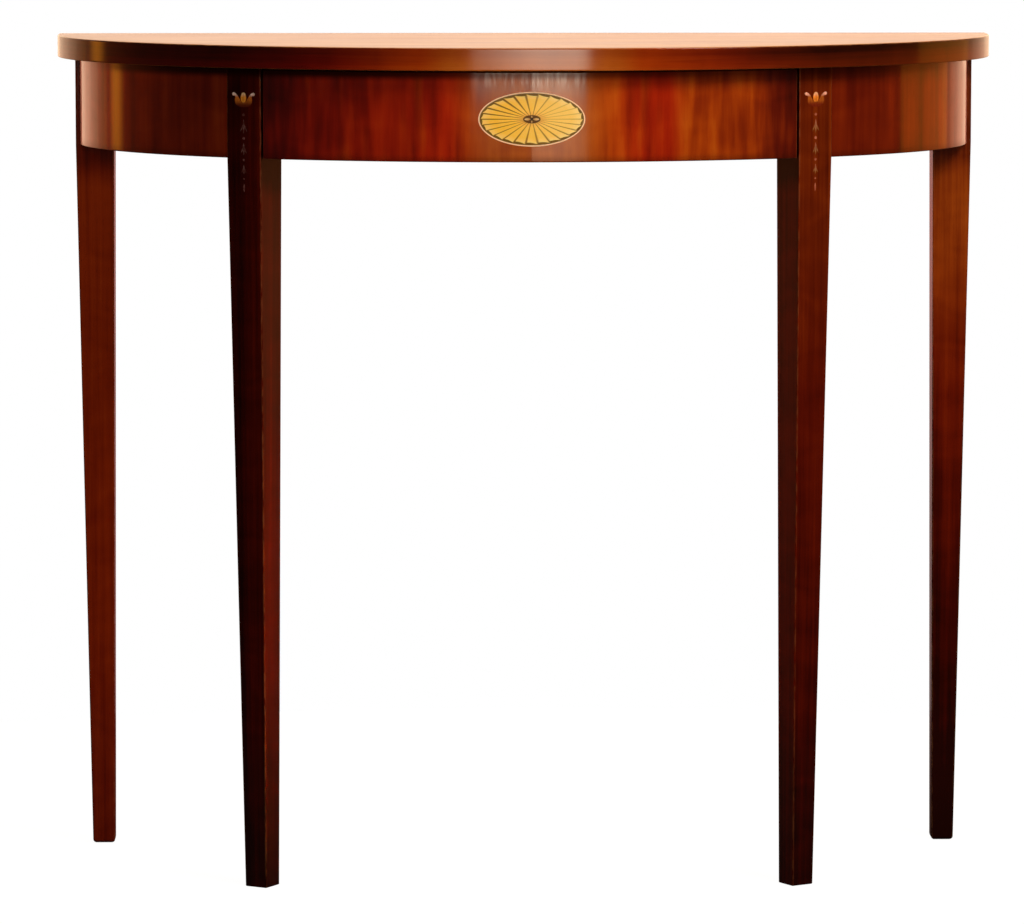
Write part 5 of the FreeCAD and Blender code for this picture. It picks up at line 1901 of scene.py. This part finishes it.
@dataclass(frozen=True)
class Studio:
    """A pale floor, a white backdrop behind the table, a dim room before it, and soft lamps."""
    floor_centre: tuple[float, float] = (0.0, 0.15)
    floor_half: tuple[float, float] = (1.2, 0.8)
    floor_points: int = 96
    floor_grey: float = 0.07
    floor_speckle: float = 0.02      # how much paler its specks are
    floor_glow: float = 0.97
    floor_mirrored: float = 0.04     # share of that glow which a shine mirrors
    room: float = 0.035
    backdrop: float = 0.85
    backdrop_y: Span = (0.6, 0.98)   # parts of a ray's way at which it starts to find the backdrop
    backdrop_z: Span = (-0.30, 0.0)
    row_start: float = math.radians(132)             # angle of a row's first lamp; 0 is straight in front
    row_step: float = math.radians(9)
    row_middle: float = 0.4          # distance of the arc's middle from the table's middle
    row_radius: float = 2.2
    row_height: float = 0.75
    frieze_height: float = 0.7       # height that most lamps point at
    lamp_height: float = 1.2         # size upwards of a lamp in a row
    row_hue: Colour = (1.0, 0.45, 0.05)              # colour of a row's first lamp
    row_paler: Colour = (0.0, 0.31, 0.36)            # what its last one's gains

    def row(self, side: Side, powers: Sequence[float]) -> list[Lamp]:
        """Narrow lamps side by side on an arc behind one end of the table, from its side round to its back.

        The bent end mirrors them; they grow paler to the back.

        Args:
            side: the end of the table.
            powers: the power of each lamp.

        Returns:
            The lamps.
        """
        lamps = []
        for number, power in enumerate(powers):
            turn = self.row_start + number * self.row_step
            across = self.row_middle + self.row_radius * math.sin(turn)
            share = number / (len(powers) - 1)
            lamps.append(Lamp(f"{side.word}_row_{number}",
                              (side.value * across, -self.row_radius * math.cos(turn), self.row_height),
                              (side.value * self.row_middle, 0.0, self.frieze_height),
                              self.row_radius * self.row_step, self.lamp_height, power,
                              tuple(hue + share * gain for hue, gain in zip(self.row_hue, self.row_paler))))
        return lamps

    def lamps(self) -> list[Lamp]:
        """The lamps.

        One stands before the table with a weak one below it, which softens the end of its mirror image.  A
        narrow beam from low on the right warms the front left leg's inner side.  Others hang high on the
        right, above and behind.  A broad lamp lights the right end, a narrow beam puts an orange streak on
        the left end, and a row of lamps stands behind each end.
        """
        high = self.frieze_height
        middle = 0.0, 0.0, high
        return [
            Lamp("front_box", (0.05, -3.1, 1.135), middle, 1.28, 1.1, 30, (1.0, 0.93, 0.76)),
            Lamp("front_fade", (0.38, -3.1, 0.515), (0.38, 0.0, 0.515), 0.62, 0.14, 0.32, (1.0, 0.88, 0.60)),
            Lamp("leg_strip", (1.3, -0.5, 0.22), (-0.26, -0.1, 0.2), 0.1, 0.4, 0.16, (1.0, 0.36, 0.01), 8.0),
            Lamp("right_box", (1.45, -1.65, 2.3), (0.0, 0.0, 0.85), 0.9, 0.9, 13, (1.0, 0.95, 0.88), 80.0),
            Lamp("top_box", (0.0, 0.4, 2.4), middle, 1.8, 1.2, 13, (1.0, 0.93, 0.84)),
            Lamp("back_box", (0.2, 2.6, 1.2), middle, 3.0, 1.2, 14, (1.0, 0.66, 0.35)),
            Lamp("right_side", (2.19, 0.85, 0.75), (0.38, 0.0, high), 1.2, 1.2, 8.5, (1.0, 0.40, 0.03)),
            Lamp("left_strip", (-1.917, 0.84, 0.7), (-0.39, 0.0, high), 0.46, 1.2, 0.085,
                 (1.0, 0.32, 0.015), 12.0),
            *self.row(Side.RIGHT, (1.0, 1.9, 2.8, 3.2, 3.0)),
            *self.row(Side.LEFT, (1.3, 2.3, 3.0, 3.4, 3.5))]

    def build_world(self) -> None:
        """White for the camera; other rays find a backdrop behind the table and a room before it."""
        world = bpy.data.worlds.new("studio")
        bpy.context.scene.world = world
        world.use_nodes = True
        web = Web(world.node_tree)
        way = web.add("ShaderNodeTexCoord", {}, {}, "Generated")
        behind = way.part("Y").step(*self.backdrop_y) * way.part("Z").step(*self.backdrop_z)
        lit = self.room + behind * (self.backdrop - self.room)
        strength = lit + (1.0 - lit) * web.shown(behind)
        background = web.add("ShaderNodeBackground", {}, {"Color": (1.0, 1.0, 1.0), "Strength": strength})
        web.end("ShaderNodeOutputWorld", background)

    def floor_material(self) -> bpy.types.Material:
        """Pale floor: part of its white is its own, so that it keeps only a soft shadow."""
        material, web = new_material("pale_floor")
        speck = web.even_noise(web.spot(), 3.0, 4.0, 0.6)
        pale = self.floor_grey + self.floor_speckle
        colour = web.mix(speck, (self.floor_grey,) * 3, (pale,) * 3)
        matt = web.add("ShaderNodeBsdfDiffuse", {}, {"Color": colour})
        shown = web.shown(self.floor_mirrored) * self.floor_glow
        glow = web.add("ShaderNodeEmission", {}, {"Strength": shown})
        web.end("ShaderNodeOutputMaterial", web.add("ShaderNodeAddShader", {}, {0: matt, 1: glow}))
        return material

    def build(self) -> None:
        """Lay the floor, hang the lamps and set the view's transform."""
        turn = whole_turn(self.floor_points)
        rim = np.array(self.floor_centre) + pairs(np.cos(turn), np.sin(turn)) * self.floor_half
        mesh = bpy.data.meshes.new("floor")
        mesh.from_pydata(raised(rim, 0.0).tolist(), [], [list(range(len(rim)))])
        mesh.materials.append(self.floor_material())
        floor = bpy.data.objects.new("floor", mesh)
        bpy.context.scene.collection.objects.link(floor)
        self.build_world()
        for lamp in self.lamps():
            lamp.build()
        bpy.context.scene.view_settings.view_transform = "Standard"


@dataclass(frozen=True)
class Camera:
    """A long lens well in front of the table, a little above it, looking slightly down."""
    place: tuple[float, float, float] = (-0.12383, -5.19606, 0.96501)
    lens: float = 201.73             # millimetres on a 36 mm sensor
    down: float = 0.11279            # radians
    right: float = 0.02112

    def build(self) -> None:
        """Set the camera up."""
        data = bpy.data.cameras.new("camera")
        data.lens = self.lens
        data.clip_start, data.clip_end = 0.1, 100
        camera = bpy.data.objects.new("camera", data)
        bpy.context.scene.collection.objects.link(camera)
        camera.location = self.place
        camera.rotation_euler = Euler((math.pi / 2 - self.down, 0.0, -self.right))
        bpy.context.scene.camera = camera


def main() -> None:
    """Build the studio and every sub-assembly in order."""
    logging.basicConfig(level=logging.INFO, format="%(message)s")
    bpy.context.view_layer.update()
    Camera().build()
    Studio().build()
    finishes = Finishes()
    Top().build(finishes)
    Legs().build(finishes)
    SideFrieze().build(finishes)
    Drawer().build(finishes)
    Carcase().build(finishes)


if __name__ == "__main__":
    main()
